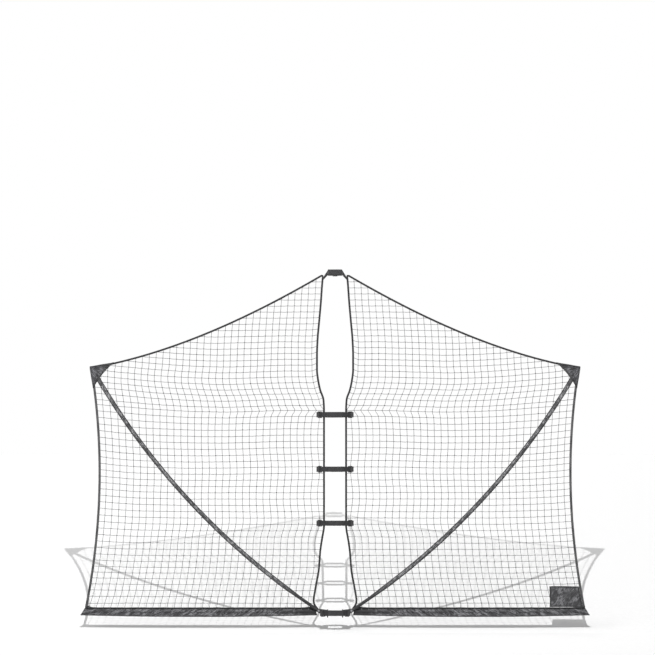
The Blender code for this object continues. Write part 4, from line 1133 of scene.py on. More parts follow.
@dataclass
class Netting(WingPart):
    """The square-mesh net of one wing, knotted at each crossing and tied to the edge cord.

    Its columns hang between two guides, drawn in at each strap and swept over to the side
    in a broad crease above the upper strap. Its rows are counted from the one at that crease.
    The tables give heights by row, and shifts of the mesh by height or by row.
    """

    columns: int = 32
    last_row: int = 23
    row_knots: Knots = (
        (-32, 0.0240), (-31, 0.0735), (-30, 0.1225), (-28, 0.2105), (-24, 0.3793), (-20, 0.5616),
        (-12, 0.9350), (-8, 1.1255), (-1, 1.4510), (0, 1.4950), (1, 1.5310), (2, 1.5756), (5, 1.7000),
        (15, 2.1347), (22, 2.4480), (24, 2.5400),
    )
    inner_offsets: Knots = (
        (0.05, 0.0360), (0.45, 0.0400), (0.565, 0.0500), (0.68, 0.0320), (0.86, 0.0485),
        (1.06, 0.0330), (1.25, 0.0480), (1.37, 0.0445), (1.410, 0.0405), (1.455, 0.0365),
        (1.495, 0.0300), (1.531, 0.0330), (1.5756, 0.0360), (1.62, 0.0370), (1.75, 0.0370),
        (2.15, 0.0430), (2.50, 0.0480),
    )
    outer_offsets: Knots = (
        (0.05, 0.0230), (0.17, 0.0370), (0.60, 0.0480), (1.40, 0.0480), (1.60, 0.0500),
        (1.66, 0.0510), (1.812, 0.0700),
    )
    pinch_knots: Knots = (
        (-3.0, 0.0), (-2.0, 0.001), (-1.0, 0.003), (0.0, 0.025), (1.0, 0.008), (2.0, 0.002), (3.0, 0.0),
    )
    pinch_reach: float = 0.48
    sweep_knots: Knots = (
        (-5.0, 0.0), (-1.0, 0.005), (0.0, 0.008), (1.0, 0.006), (3.0, -0.003), (5.5, -0.013),
        (8.0, -0.004), (10.0, 0.0),
    )
    lift_knots: Knots = (
        (0.05, 0.001), (0.30, 0.010), (0.75, 0.027), (0.95, 0.032), (1.26, 0.045), (1.85, 0.068),
        (2.5, 0.068),
    )
    lift_start: float = 0.85
    lift_margin: float = 0.045
    lift_limit: float = 1.1
    lift_powers: Pair = (3.4, 1.8)
    lift_heights: Pair = (1.1, 1.5)
    sag_knots: Knots = ((0.9, 0.0), (1.2, 0.012), (1.95, 0.012), (2.2, 0.0))
    sag_start: float = 0.28
    sag_end: float = 0.88
    stub_rise: Knots = ((0.0, 0.0), (1.49, 0.0), (1.53, 0.014), (1.85, 0.016), (2.05, 0.008), (2.25, 0.0))
    guide_join: float = 0.10
    guide_lean: float = 0.10
    guide_curl: float = 0.34
    guide_end: float = 0.3
    twine_radius: float = 0.00165
    row_thinness: float = 0.84
    knot_radius: float = 0.0038
    sides: int = 4
    steps: int = 3
    row_slack: float = 0.0016
    waviness: float = 0.0022
    billow: float = 0.0045
    random_seed: int = 7
    halvings: int = 22
    top_gap: float = 0.08
    inner_search: float = -0.06
    outer_search: float = 1.5
    stop_gap: float = 0.002

    def outer_guide(self, share: float, height: float) -> float:
        """Return the outermost column as another column sees it.

        Args:
            share: that column's share across.
            height: the height.

        Returns:
            The distance from the axis.
        """
        join = self.edge.shoulder - self.guide_join
        past = max(0.0, height - join)
        curled = min(past, self.guide_end)
        soft = self.edge.outer(min(height, join))
        soft += self.guide_lean * curled - self.guide_curl * curled ** 2 - self.guide_lean * (past - curled)
        if height < self.edge.shoulder:
            soft += (self.edge.outer(height) - soft) * share ** 6
        return soft - smooth_curve(self.outer_offsets, height)

    def guides(self, share: float, height: float) -> Pair:
        """Return the first column's distance at a height, and the last one's."""
        first = self.edge.inner(height) + smooth_curve(self.inner_offsets, height)
        return first, self.outer_guide(share, height)

    def spot(self, share: float, row: float) -> Pair:
        """Return where the net's mesh puts a column share and a row number.

        Args:
            share: 0 at the first column and 1 at the last, with the edges a little beyond.
            row: the row's number.

        Returns:
            The distance from the axis and the height.
        """
        height = smooth_curve(self.row_knots, row)
        first, last = self.guides(share, height)
        flat = first + (last - first) * share
        whole = last + self.lift_margin - self.lift_start
        part = min(self.lift_limit, max(0.0, (flat - self.lift_start) / whole))
        power = self.lift_powers[0] - self.lift_powers[1] * smooth_step(*self.lift_heights, height)
        high = height + smooth_curve(self.lift_knots, height) * part ** power
        high -= smooth_curve(self.sag_knots, height) * smooth_step(self.sag_start, self.sag_end, flat)
        first, last = self.guides(share, high)
        reach = first + (last - first) * share
        reach -= smooth_curve(self.pinch_knots, row) * max(0.0, 1 - max(0.0, share) / self.pinch_reach)
        reach -= smooth_curve(self.sweep_knots, row) * math.sin(math.pi * min(1.0, max(0.0, share)))
        if share < 0:
            wide = max(0.001, first - self.edge.inner(high))
            high += smooth_curve(self.stub_rise, high) * min(1.0, -share * (last - first) / wide)
        place = self.at(reach, 0.0, high)
        reach += self.waviness * (soft_noise(place, 0.13, 1.3) + 0.6 * soft_noise(place, 0.037, 5.1))
        high += self.waviness * (soft_noise(place, 0.17, 9.7) + 0.5 * soft_noise(place, 0.041, 3.9))
        return reach, high

    def inside(self, share: float, row: float) -> bool:
        """Return whether that place of the mesh lies within the edge cord."""
        reach, high = self.spot(share, row)
        edge = self.edge
        if high >= edge.roof(max(reach, edge.corner().x)) or reach < edge.inner(high):
            return False
        return high > edge.shoulder or reach < edge.outer(high)

    def border(self, low: float, high: float, inside: Callable[[float], bool]) -> float:
        """Find where the edge cord crosses a line of the mesh.

        Args:
            low: a value inside the cord.
            high: a value outside it.
            inside: the test of a value.

        Returns:
            The value at the cord.
        """
        for _ in range(self.halvings):
            middle = (low + high) / 2
            low, high = (middle, high) if inside(middle) else (low, middle)
        return low

    def point(self, share: float, row: float, slack: float = 0.0) -> Vector:
        """Return a point of the net, which hangs behind the wing's plane.

        Args:
            share: the column's share across.
            row: the row's number.
            slack: how far the twine sags there.

        Returns:
            The point.
        """
        reach, high = self.spot(share, row)
        edge = self.edge
        room = min(edge.outer(high) - reach, reach - edge.inner(high), edge.roof(reach) - high)
        hang = self.billow * (0.7 + soft_noise(self.at(reach, 0.0, high), 0.45, 2.2))
        return self.at(reach, smooth_step(0.0, 0.35, room) * hang, high - slack)

    def column(self, share: float) -> tuple[list[Vector], list[bool]]:
        """Return one column.

        Args:
            share: 0 at the first column and 1 at the last.

        Returns:
            Its points, and which of them are knots.
        """
        first = int(self.row_knots[0][0])
        top = self.border(0, self.last_row + 1, lambda row: self.inside(share, row))
        chain, knots = [], []
        for row in range(first, self.last_row + 1):
            for k in range(self.steps):
                place = row + k / self.steps
                if place >= top - self.top_gap:
                    break
                chain.append(self.point(share, place))
                knots.append(k == 0 and row > first)
        return [*chain, self.point(share, top)], [*knots, False]

    def row(self, row: int, shares: Sequence[float]) -> list[Vector]:
        """Return one row, from the inner cord to the outer or the top one.

        Args:
            row: its number.
            shares: the columns that it crosses.

        Returns:
            Its points, or nothing where the row lies outside the cord.
        """
        held = [share for share in shares if self.inside(share, row)]
        if not held:
            return []
        beyond = held[-1] + self.outer_search / self.columns
        start = self.border(held[0], self.inner_search, lambda share: self.inside(share, row))
        end = self.border(held[-1], beyond, lambda share: self.inside(share, row))
        between = [share for share in held if start + self.stop_gap < share < end - self.stop_gap]
        stops = [start, *between, end]
        chain = []
        for first, second in zip(stops, stops[1:]):
            for part in evenly(0.0, 1.0, self.steps)[:-1]:
                slack = self.row_slack * math.sin(math.pi * part) * min(1.0, (second - first) * self.columns)
                chain.append(self.point(first + (second - first) * part, row, slack))
        return [*chain, self.point(end, row)]

    def build(self) -> None:
        """Build the net as one mesh."""
        shares = evenly(0.0, 1.0, self.columns - 1)
        chains, flags, girths = [], [], []
        for share in shares:
            chain, knots = self.column(share)
            chains.append(chain)
            flags += knots
            girths += [1.0] * len(chain)
        for row in range(int(self.row_knots[0][0]) + 1, self.last_row + 1):
            chain = self.row(row, shares)
            if chain:
                chains.append(chain)
                flags += [False] * len(chain)
                girths += [self.row_thinness] * len(chain)
        name = self.name("net_twine")
        mesh = self.kit.netting.grow(name, polyline_mesh(name, chains, flags, girths), {
            "Twine Radius": self.twine_radius, "Twine Sides": self.sides,
            "Knot Radius": self.knot_radius, "Seed": self.random_seed + self.side.value,
        })
        piece = mesh_object(name, mesh, self.kit.finishes.twine, ROOT, "grey_twine", self.name("net"))
        self.fold_with_net(piece)


@dataclass
class EdgeCord(WingPart):
    """The cord round one wing: black and thin inside and on top, thick and grey outside."""

    inner_radius: float = 0.0072
    top_radius: float = 0.0070
    outer_radius: float = 0.0088
    depth: float = 0.0058
    sides: int = 16
    step: float = 0.012
    split: float = 0.634
    landing: float = math.radians(58)
    nose: float = 0.0151
    corner_cut: float = 0.012
    corner_weight: float = 0.4

    def tube(self, path: Path, radius: float) -> Mesh:
        """Sweep a flattened cord along a path.

        Args:
            path: points in the wing's plane.
            radius: half the cord's width in that plane.

        Returns:
            The cord's mesh.
        """
        rings = []
        for point, run in zip(path, directions(path)):
            across = run.cross(FRONT).normalized()
            rings.append(oval(point, across * radius, across.cross(run) * self.depth, self.sides))
        return close_rings("cord", rings, evenly(0.0, 1.0, self.sides), distances(path))

    def foot_path(self) -> list[Vector]:
        """Return the cord from its hub to the lowest strap."""
        x, z = self.edge.hub
        z += self.nose * math.sin(self.landing)
        lowest = self.edge.knots()[0][0]
        path = [
            self.at(x + self.nose * math.cos(self.landing), 0, z),
            self.at(self.edge.inner(lowest) - 0.003, 0, (lowest + z) / 2),
            *self.upright(lowest, self.split, 60),
        ]
        return relaxed(resample(path, self.step), 4)

    def upright(self, low: float, high: float, count: int) -> list[Vector]:
        """Return the inner edge between two heights."""
        return [self.at(self.edge.inner(z), 0, z) for z in evenly(low, high, count)]

    def rim_path(self) -> list[Vector]:
        """Return the cord from the top corner, over the outer corner and down to the band."""
        edge = self.edge
        start, low = edge.corner().x, edge.top - self.corner_cut
        path = [self.at(edge.inner(low), 0, low)]
        reaches = evenly(start, edge.reach, round((edge.reach - start) / self.step))
        path += [self.at(x, 0, edge.roof(x)) for x in reaches]
        heights = evenly(edge.shoulder, edge.foot, round((edge.shoulder - edge.foot) / self.step))
        path += [self.at(edge.outer(z), 0, z) for z in heights[1:]]
        return relaxed(resample(path, self.step), 2)

    def build(self) -> None:
        """Build the cord's four runs."""
        finishes, rim = self.kit.finishes, self.rim_path()
        turn = max(range(len(rim)), key=lambda k: abs(rim[k].x) + self.corner_weight * rim[k].z)
        count = round((self.edge.top - self.split) / self.step)
        inner = self.upright(self.split, self.edge.top - self.corner_cut, count)
        for piece, path, radius, material in (
            ("foot", self.foot_path(), self.inner_radius, finishes.inner_cord),
            ("inner", inner, self.inner_radius, finishes.inner_cord),
            ("top", rim[: turn + 1], self.top_radius, finishes.inner_cord),
            ("outer", rim[turn:], self.outer_radius, finishes.outer_cord),
        ):
            name, mesh = self.name(f"edge_cord_{piece}"), self.tube(path, radius)
            made = mesh_object(name, mesh, material, ROOT, "black_cord", self.name("edge_cord"))
            if piece != "foot":
                self.fold_with_net(made)


@dataclass
class SparSleeve(WingPart):
    """The sleeve that holds the diagonal spar, with a sewn flange along both edges."""

    depth: float = -0.0167
    bend: float = math.radians(25.3)
    socket: float = 0.085
    start: float = 0.034
    mouth: float = 0.041
    half_width: float = 0.0145
    front: float = 0.0098
    back: float = 0.0094
    bore: float = 0.0083
    flange: float = 0.0013
    slim: float = 0.68
    slim_until: float = 0.34
    pucker: float = 0.0017
    edge_inset: float = 0.0006
    edge_half: float = 0.0022
    edge_thick: float = 0.0017
    station: float = 0.005
    inner_station: float = 0.06
    seam_share: float = 0.80
    thread_lift: float = 0.0004
    front_shares: tuple[float, ...] = (-1.0, -0.93, -0.84, -0.76, -0.68, -0.58, -0.46, -0.30, -0.14)

    def __post_init__(self) -> None:
        """Work out the spar's bow from its hub to its tip."""
        self.hub, tip = Vector(self.edge.hub), self.edge.tip()
        self.direction = (tip - self.hub).normalized()
        for _ in range(20):
            chord = tip - (self.hub + self.direction * self.socket)
            self.direction = Matrix.Rotation(-self.bend / 2, 2) @ chord.normalized()
        self.radius = chord.length / (2 * math.sin(self.bend / 2))
        self.end = self.socket + self.radius * self.bend - self.mouth

    def axis(self, distance: float) -> tuple[Vector, Vector]:
        """Return the spar's middle line at one place.

        Args:
            distance: how far the place lies from the pin.

        Returns:
            The middle and its normal, in the wing's plane.
        """
        normal = quarter_turn(self.direction)
        if distance <= self.socket:
            return self.hub + self.direction * distance, normal
        turned = Matrix.Rotation((distance - self.socket) / self.radius, 2) @ normal
        mouth = self.hub + self.direction * self.socket
        return mouth + normal * self.radius - turned * self.radius, turned

    def slimness(self, distance: float) -> float:
        """Return the sleeve's width at a distance from the pin, as a share of its full width."""
        return self.slim + (1 - self.slim) * smooth_step(self.slim_until * 0.4, self.slim_until, distance)

    def hump(self, share: float, height: float) -> float:
        """Return how far the cloth stands off at a share of the sleeve's half width."""
        rod = max(0.0, 1 - (abs(share) / 0.74) ** 2.2)
        return self.flange * 0.5 + (height - self.flange * 0.5) * rod ** 0.62

    def profile(self) -> list[Pair]:
        """Return the cloth's ring as (across, out) pairs, the front with a negative out."""
        shares = [*self.front_shares, 0.0, *[-share for share in reversed(self.front_shares)]]
        front = [(share * self.half_width, -self.hump(share, self.front)) for share in shares]
        behind = [-share for share in shares[1:-1]][::2]
        return [*front, *[(share * self.half_width, self.hump(share, self.back)) for share in behind]]

    def puckered(self, distance: float, across: float, out: float) -> Pair:
        """Crumple a place of the cloth's profile.

        Args:
            distance: the distance from the pin, along the spar.
            across: how far the place lies from the spar's middle.
            out: how far it stands off.

        Returns:
            The place's new across and out.
        """
        seed = self.seed(11.0, 23.0)
        place = (distance, across * 1.6, out * 0.4)
        crumple = soft_noise(place, 0.021, seed) + 0.6 * soft_noise(place, 0.0085, seed + 4)
        lengthwise = soft_noise((distance * 0.22, across * 2.4, out), 0.016, seed + 8)
        bulge = min(1.0, abs(out) / self.front)
        out += math.copysign(self.pucker * (0.55 * crumple + 0.6 * lengthwise) * bulge, out)
        rim = smooth_step(0.011, self.half_width, abs(across))
        out += rim * 0.0011 * soft_noise((distance, 0, 0), 0.014, seed + 12)
        sway = soft_noise((distance, 0, math.copysign(1, across)), 0.02, seed + 15)
        across += math.copysign(rim * 0.0007, across) * sway
        return across * self.slimness(distance), min(out, self.back)

    def ring(self, distance: float, inner: bool) -> list[Vector]:
        """Return one ring of the cloth, or of the channel's wall.

        Args:
            distance: the distance from the pin.
            inner: whether it is the wall's.

        Returns:
            The ring.
        """
        middle, normal = self.axis(distance)
        if inner:
            turns = [math.pi * (1 - 2 * k / 28) for k in range(28)]
            pairs = [(self.bore * math.cos(t), -self.bore * math.sin(t)) for t in turns]
        else:
            pairs = [self.puckered(distance, across, out) for across, out in self.profile()]
        spots = [(middle + normal * across, out) for across, out in pairs]
        return [self.at(spot.x, self.depth + out, spot.y) for spot, out in spots]

    def build(self) -> None:
        """Build the sleeve, its stitches and its two bound edges."""
        length = self.end - self.start
        outside = evenly(self.start, self.end, round(length / self.station))
        inside = evenly(self.end, self.start, round(length / self.inner_station))
        rings = [self.ring(d, False) for d in outside] + [self.ring(d, True) for d in inside]
        around = distances([Vector(pair) for pair in self.profile()], closed=True)
        mesh = close_rings("sleeve", rings, around, [*outside, *inside, self.start], closed=True)
        self.cloth("spar_sleeve_cloth", mesh, "spar", self.kit.finishes.sleeve, "spar_sleeve")
        rows = []
        for share in (-self.seam_share, self.seam_share):
            row = []
            for distance in outside[2:-1:2]:
                middle, normal = self.axis(distance)
                spot = middle + normal * (share * self.half_width * self.slimness(distance))
                out = self.hump(share, self.front) + self.thread_lift
                row.append(self.at(spot.x, self.depth - out, spot.y))
            rows.append(row)
        self.sew("sleeve_stitches", rows, "spar")
        for share, label in ((-1, "lower"), (1, "upper")):
            self.binding(share, label, outside[::2])

    def binding(self, share: int, label: str, stations: Sequence[float]) -> None:
        """Build the rolled edge of one flange.

        Args:
            share: -1 for the flange below the spar, 1 for the one above.
            label: its name.
            stations: the distances along the spar.
        """
        rings = []
        for distance in stations:
            middle, normal = self.axis(distance)
            wander = 0.0006 * soft_noise((distance, share, 0), 0.03, 31.0)
            side = share * (self.half_width - self.edge_inset) * self.slimness(distance)
            spot = middle + normal * (side + wander)
            centre, away = self.at(spot.x, self.depth, spot.y), self.at(normal.x, 0, normal.y)
            rings.append(oval(centre, away * self.edge_half, FRONT * -self.edge_thick, 8))
        mesh = close_rings("binding", rings, evenly(0.0, 0.0128, 8), list(stations))
        self.cloth(f"sleeve_edge_{label}", mesh, "spar")


@dataclass
class BottomBand(WingPart):
    """The band that holds the bottom arm: creased cloth, piped along its lower edge."""

    depth: float = 0.0167
    above: float = 0.0265
    below: float = 0.0325
    sag: float = 0.012
    start_top: float = 0.154
    start_bottom: float = 0.131
    top_dip: Knots = (
        (0.0, 0.008), (0.04, -0.002), (0.18, -0.0105), (0.35, -0.0095), (0.55, -0.0080), (0.93, -0.0040),
        (1.0, 0.0),
    )
    end_top: float = 1.822
    end_bottom: float = 1.876
    gusset_rise: float = 0.012
    gusset_start: float = 1.785
    front: float = 0.0100
    bore: float = 0.0083
    rod_end: float = 1.808
    crease: float = 0.0022
    half_rod: float = 0.0155
    flat_stand: float = 0.0018
    rod_stand: float = 0.0082
    station: float = 0.005
    inner_station: float = 0.06
    steps: int = 16
    seams: Pair = (0.115, 0.90)
    thread_lift: float = 0.0012

    @property
    def rod_height(self) -> float:
        """Return the height of the arm's axis."""
        return self.edge.hub[1]

    def spot(self, share: float, part: float) -> Vector:
        """Return a place of the band.

        Args:
            share: 0 at its inner end and 1 at its outer end.
            part: 0 at its top edge and 1 at its bottom edge.

        Returns:
            The place in the wing's plane.
        """
        top_x = self.start_top + (self.end_top - self.start_top) * share
        bottom_x = self.start_bottom + (self.end_bottom - self.start_bottom) * share
        rise = self.gusset_rise * smooth_step(self.gusset_start, self.end_top, top_x)
        dip = smooth_curve(self.top_dip, share)
        top = Vector((top_x + rise * 0.9, self.rod_height + self.above + rise + dip))
        hang = self.sag * 4 * share * (1 - share)
        return top.lerp(Vector((bottom_x, self.rod_height - self.below - hang)), part)

    def stand(self, height: float) -> float:
        """Return how far the cloth stands off its middle plane at a height."""
        rod = max(0.0, 1 - (abs(height - self.rod_height) / self.half_rod) ** 2)
        return self.flat_stand + self.rod_stand * rod ** 0.6

    def ring(self, share: float) -> list[Vector]:
        """Return one ring of the band: down its front, then up its back.

        Args:
            share: 0 at its inner end and 1 at its outer end.

        Returns:
            The ring.
        """
        seed = self.seed(41.0, 57.0)
        down = evenly(0.0, 1.0, self.steps)
        points = []
        for side, part in [*[(-1, part) for part in down], *[(1, 1 - part) for part in down[1:-1]]]:
            spot = self.spot(share, part)
            place = (spot.x + 0.9 * spot.y, spot.y * 2.2, 0.02 * side)
            folds = soft_noise(place, 0.034, seed) + 0.55 * soft_noise(place, 0.014, seed + 3)
            ridge = 1 - abs(soft_noise(place, 0.06, seed + 6)) * 2.2
            calm = smooth_step(0.0, 0.12, part) * smooth_step(1.0, 0.93, part)
            out = self.stand(spot.y) + self.crease * (0.5 * folds + 0.45 * ridge) * calm
            points.append(self.at(spot.x, self.depth + side * min(out, self.front), spot.y))
        return points

    def bore_ring(self, share: float) -> list[Vector]:
        """Return the ring of the channel's wall, point for point with the cloth outside."""
        reach = min(self.spot(share, 0.45).x, self.rod_end)
        down = evenly(math.pi / 2, 3 * math.pi / 2, self.steps)
        turns = [*down, *[turn + math.pi for turn in down[1:-1]]]
        spots = [(self.bore * math.cos(turn), self.bore * math.sin(turn)) for turn in turns]
        return [self.at(reach, self.depth + out, self.rod_height + up) for out, up in spots]

    def build(self) -> None:
        """Build the band, its piping, its top binding and its stitches."""
        length = self.end_top - self.start_top
        outside = evenly(0.0, 1.0, round(length / self.station))
        inside = evenly(1.0, 0.0, round(length / self.inner_station))
        rings = [self.ring(share) for share in outside]
        around = distances(rings[len(rings) // 2], closed=True)
        along = [share * length for share in [*outside, *inside, 0.0]]
        rings += [self.bore_ring(share) for share in inside]
        mesh = close_rings("band", rings, around, along, closed=True)
        self.cloth("bottom_band_cloth", mesh, "arm", self.kit.finishes.band, "bottom_band")
        self.trim("band_piping", outside[::2], part=1.0, width=0.0034, thick=0.0030, shift=0.002)
        self.trim("band_top_edge", outside[::2], part=0.0, width=0.0044, thick=0.0026, shift=-0.003)
        rows = []
        for part in self.seams:
            spots = [self.spot(share, part) for share in outside[1:-1:2]]
            lift = self.depth - self.thread_lift
            rows.append([self.at(p.x, lift - self.stand(p.y), p.y) for p in spots])
        self.sew("band_stitches", rows, "arm")

    def trim(
        self, piece: str, shares: Sequence[float], part: float, width: float, thick: float, shift: float,
    ) -> None:
        """Build the rolled binding along one edge of the band.

        Args:
            piece: its name.
            shares: the stations along the band.
            part: 0 for the top edge, 1 for the bottom edge.
            width: half its height.
            thick: half its thickness.
            shift: how far it sits above that edge.
        """
        spots = [self.spot(share, part) for share in shares]
        rings = []
        for spot in spots:
            wander = 0.0009 * soft_noise((spot.x, part, 0), 0.06, 71.0)
            centre = self.at(spot.x, self.depth, spot.y + shift + wander)
            rings.append(oval(centre, Vector((0, 0, width)), Vector((0, thick, 0)), 10))
        mesh = close_rings(piece, rings, evenly(0.0, width * 6, 10), [spot.x for spot in spots])
        self.cloth(piece, mesh, "arm")


@dataclass
class CornerPocket(WingPart):
    """The pocket over the wing's outer corner: creased cloth drawn tight over the spar's tip."""

    top_length: float = 0.164
    side_length: float = 0.148
    margin: float = 0.0126
    top_margin: float = 0.0082
    side_margin: float = 0.0098
    front: float = 0.0262
    back: float = 0.0094
    edge_half: float = 0.0086
    wall: float = 0.0012
    tip_radius: float = 0.0085
    crease: float = 0.0046
    scallop: float = 0.0085
    edging: float = 0.0062
    edging_inset: float = 0.0052
    edging_stand: float = 0.0006
    hem_inset: float = 0.0040
    hem_half: float = 0.0062
    hem_sink: float = 0.0004
    hem_thick: float = 0.0016
    thread_lift: float = 0.0006
    across_steps: int = 52
    along_steps: int = 54
    flat_size: float = 0.16
    last_stations: Pair = (0.993, 0.999)
    unlined: int = 4
    mouth_seams: Pair = (0.06, 0.10)
    edge_seams: Pair = (0.045, 0.955)

    def mouth(self) -> tuple[Vector, Vector, Vector]:
        """Return the mouth's two ends and the apex, in the wing's plane."""
        edge = self.edge
        top_x, side_z = edge.reach - self.top_length, edge.shoulder - self.side_length
        return (
            Vector((top_x, edge.roof(top_x) + self.top_margin)),
            Vector((edge.outer(side_z) + self.side_margin, side_z)),
            Vector((edge.reach + self.margin * 0.92, edge.shoulder + self.margin * 0.92)),
        )

    def flat_spot(self, along: float, across: float) -> Vector:
        """Return a place of the flat pocket.

        Args:
            along: 0 at the mouth, 1 at the apex.
            across: 0 on the top edge, 1 on the outer edge.

        Returns:
            The place in the wing's plane.
        """
        edge = self.edge
        first, last, apex = self.mouth()
        x, z = first.x + (apex.x - first.x) * along, last.y + (apex.y - last.y) * along
        grown, closing = smooth_step(0.0, 0.6, along), smooth_step(0.90, 1.0, along)
        above = self.top_margin + (self.margin - self.top_margin) * grown
        aside = self.side_margin + (self.margin - self.side_margin) * grown
        upper = Vector((x, edge.roof(min(x, edge.reach)) + above)).lerp(apex, closing)
        lower = Vector((edge.outer(min(z, edge.shoulder)) + aside, z)).lerp(apex, closing)
        bow = self.scallop * math.sin(math.pi * across) * (1 - along) ** 2
        return upper.lerp(lower, across) + Vector((bow, bow))

    def stand(self, spot: Vector, side: float, along: float) -> float:
        """Return how far the front stands off the wing's plane, drawn over the spar's tip.

        Args:
            spot: the place in the wing's plane.
            side: 0 on an edge and 1 halfway between the two.
            along: 0 at the mouth, 1 at the apex.

        Returns:
            The distance.
        """
        axis = Vector((self.edge.tip_inset, self.edge.tip_drop)).normalized()
        away = spot - self.edge.tip()
        aside = abs(away.x * axis.y - away.y * axis.x)
        near = math.hypot(max(0.0, aside - self.tip_radius), max(0.0, away.dot(axis)))
        rim = smooth_step(0.0, 0.22, side) * smooth_step(1.0, 0.93, along)
        ridge = max(0.0, 1 - near / (0.050 + 0.034 * (1 - along)))
        return self.edge_half + (self.front - self.edge_half) * ridge ** 1.35 * rim

    def folds(self, spot: Vector, side: float, back: bool) -> float:
        """Return the height that folds and fine creases add to the cloth.

        Args:
            spot: the place in the wing's plane.
            side: 0 on an edge and 1 halfway between the two.
            back: whether it is the pocket's back.

        Returns:
            The height, which may be negative.
        """
        seed = self.seed(83.0, 97.0)
        away = spot - Vector((self.edge.reach, self.edge.shoulder))
        angle, far = math.atan2(away.y, away.x), away.length
        calm = smooth_step(0.02, 0.20, side) * smooth_step(0.012, 0.05, far)
        bend = 1.6 * soft_noise((far, angle * 0.1, 0), 0.10, seed)
        rays = math.sin(angle * 17 + bend) * (0.5 + soft_noise((far * 5, angle * 2, 1), 0.3, seed + 2))
        thin = soft_noise((far * 6, angle, 4), 0.25, seed + 3)
        rays += 0.55 * math.sin(angle * 29 - bend + seed) * thin
        place = (spot.x, spot.y, back)
        bits = soft_noise(place, 0.024, seed + 5) + 0.5 * soft_noise(place, 0.0100, seed + 7)
        return self.crease * calm * (0.75 * rays + 0.30 * bits)

    def ring(self, along: float) -> list[Vector]:
        """Return one ring of the pocket, over its front and then its back.

        Args:
            along: 0 at the mouth, 1 at the apex.

        Returns:
            The ring.
        """
        shares = evenly(0.0, 1.0, self.across_steps)[:-1]
        points = []
        for back, across in [*[(False, s) for s in shares], *[(True, 1 - s) for s in shares]]:
            spot = self.flat_spot(along, across)
            side = min(across, 1 - across) * 2
            height = self.edge_half if back else self.stand(spot, side, along)
            height = height * smooth_step(-0.10, 0.10, side) + self.folds(spot, side, back)
            height = max(0.0004, min(height, self.back if back else self.front + 0.0008))
            height *= 1 - 0.75 * smooth_step(0.97, 1.0, along)
            points.append(self.at(spot.x, height if back else -height, spot.y))
        return points

    def lined(self, ring: Path) -> list[Vector]:
        """Return the cloth's inner side.

        Args:
            ring: a ring of its outer side.

        Returns:
            The ring inside that one.
        """
        middle = sum(ring, Vector()) / len(ring)
        inner = []
        for point in ring:
            inward = Vector((middle.x - point.x, 0.0, middle.z - point.z)).normalized() * self.wall
            depth = point.y - math.copysign(min(self.wall, abs(point.y) * 0.6), point.y)
            inner.append(Vector((point.x, depth, point.z)) + inward)
        return inner

    def surface(self, along: float, across: float) -> Vector:
        """Return a point of the pocket's front."""
        ring = self.ring(along)
        place = across * self.across_steps
        index = min(int(place), self.across_steps - 1)
        return ring[index].lerp(ring[index + 1], place - index) + FRONT * self.thread_lift

    def build(self) -> None:
        """Build the pocket as one folded cloth, its mouth's hem, its binding and its stitches."""
        stations = [*evenly(0.0, 1.0, self.along_steps)[:-1], *self.last_stations]
        rings = [self.ring(along) for along in stations]
        lining = [self.lined(ring) for ring in reversed(rings[:-self.unlined])]
        around = distances(rings[len(rings) // 3], closed=True)
        marks = [-mark * self.flat_size for mark in reversed(stations[:-self.unlined])]
        marks += [mark * self.flat_size for mark in stations]
        mesh = close_rings("pocket", [*lining, *rings], around, marks)
        self.cloth("corner_pocket_cloth", mesh, "spar", self.kit.finishes.pocket, "corner_pocket")
        self.hem()
        self.binding()
        rows = [[self.surface(along, k) for k in evenly(0.05, 0.95, 60)] for along in self.mouth_seams]
        rows += [[self.surface(k, across) for k in evenly(0.06, 0.92, 60)] for across in self.edge_seams]
        self.sew("pocket_stitches", rows, "spar")

    def binding(self) -> None:
        """Build the binding along the pocket's two closed edges."""
        shares = evenly(0.0, 1.0, 40)[:-1]
        flat = [self.flat_spot(share, 0) for share in shares] + [self.mouth()[2]]
        flat += [self.flat_spot(share, 1) for share in reversed(shares)]
        path = relaxed([self.at(spot.x, 0, spot.y) for spot in flat], 2)
        middle = self.at(self.edge.reach - 0.2, 0, self.edge.shoulder - 0.2)
        deep = FRONT * -(self.edge_half + self.edging_stand)
        rings = []
        for point, run in zip(path, directions(path)):
            across = run.cross(FRONT).normalized()
            across *= 1 if across.dot(middle - point) > 0 else -1
            rings.append(oval(point + across * self.edging_inset, across * self.edging, deep, 12))
        mesh = close_rings("binding", rings, evenly(0.0, 0.042, 12), distances(path))
        self.cloth("pocket_binding", mesh, "spar")

    def hem(self) -> None:
        """Build the turned hem along the pocket's mouth."""
        ring = self.ring(0.0)
        centre = sum(ring, Vector()) / len(ring)
        rings = []
        for point, ahead in zip(ring, self.ring(0.08)):
            inward = (ahead - point).normalized()
            away = point - centre
            away = (away - inward * away.dot(inward)).normalized()
            middle = point + inward * self.hem_inset - away * self.hem_sink
            rings.append(oval(middle, inward * self.hem_half, away * self.hem_thick, 10))
        mesh = close_rings("hem", rings, evenly(0.0, 0.022, 10), distances(ring, closed=True), closed=True)
        self.cloth("pocket_hem", mesh, "spar")


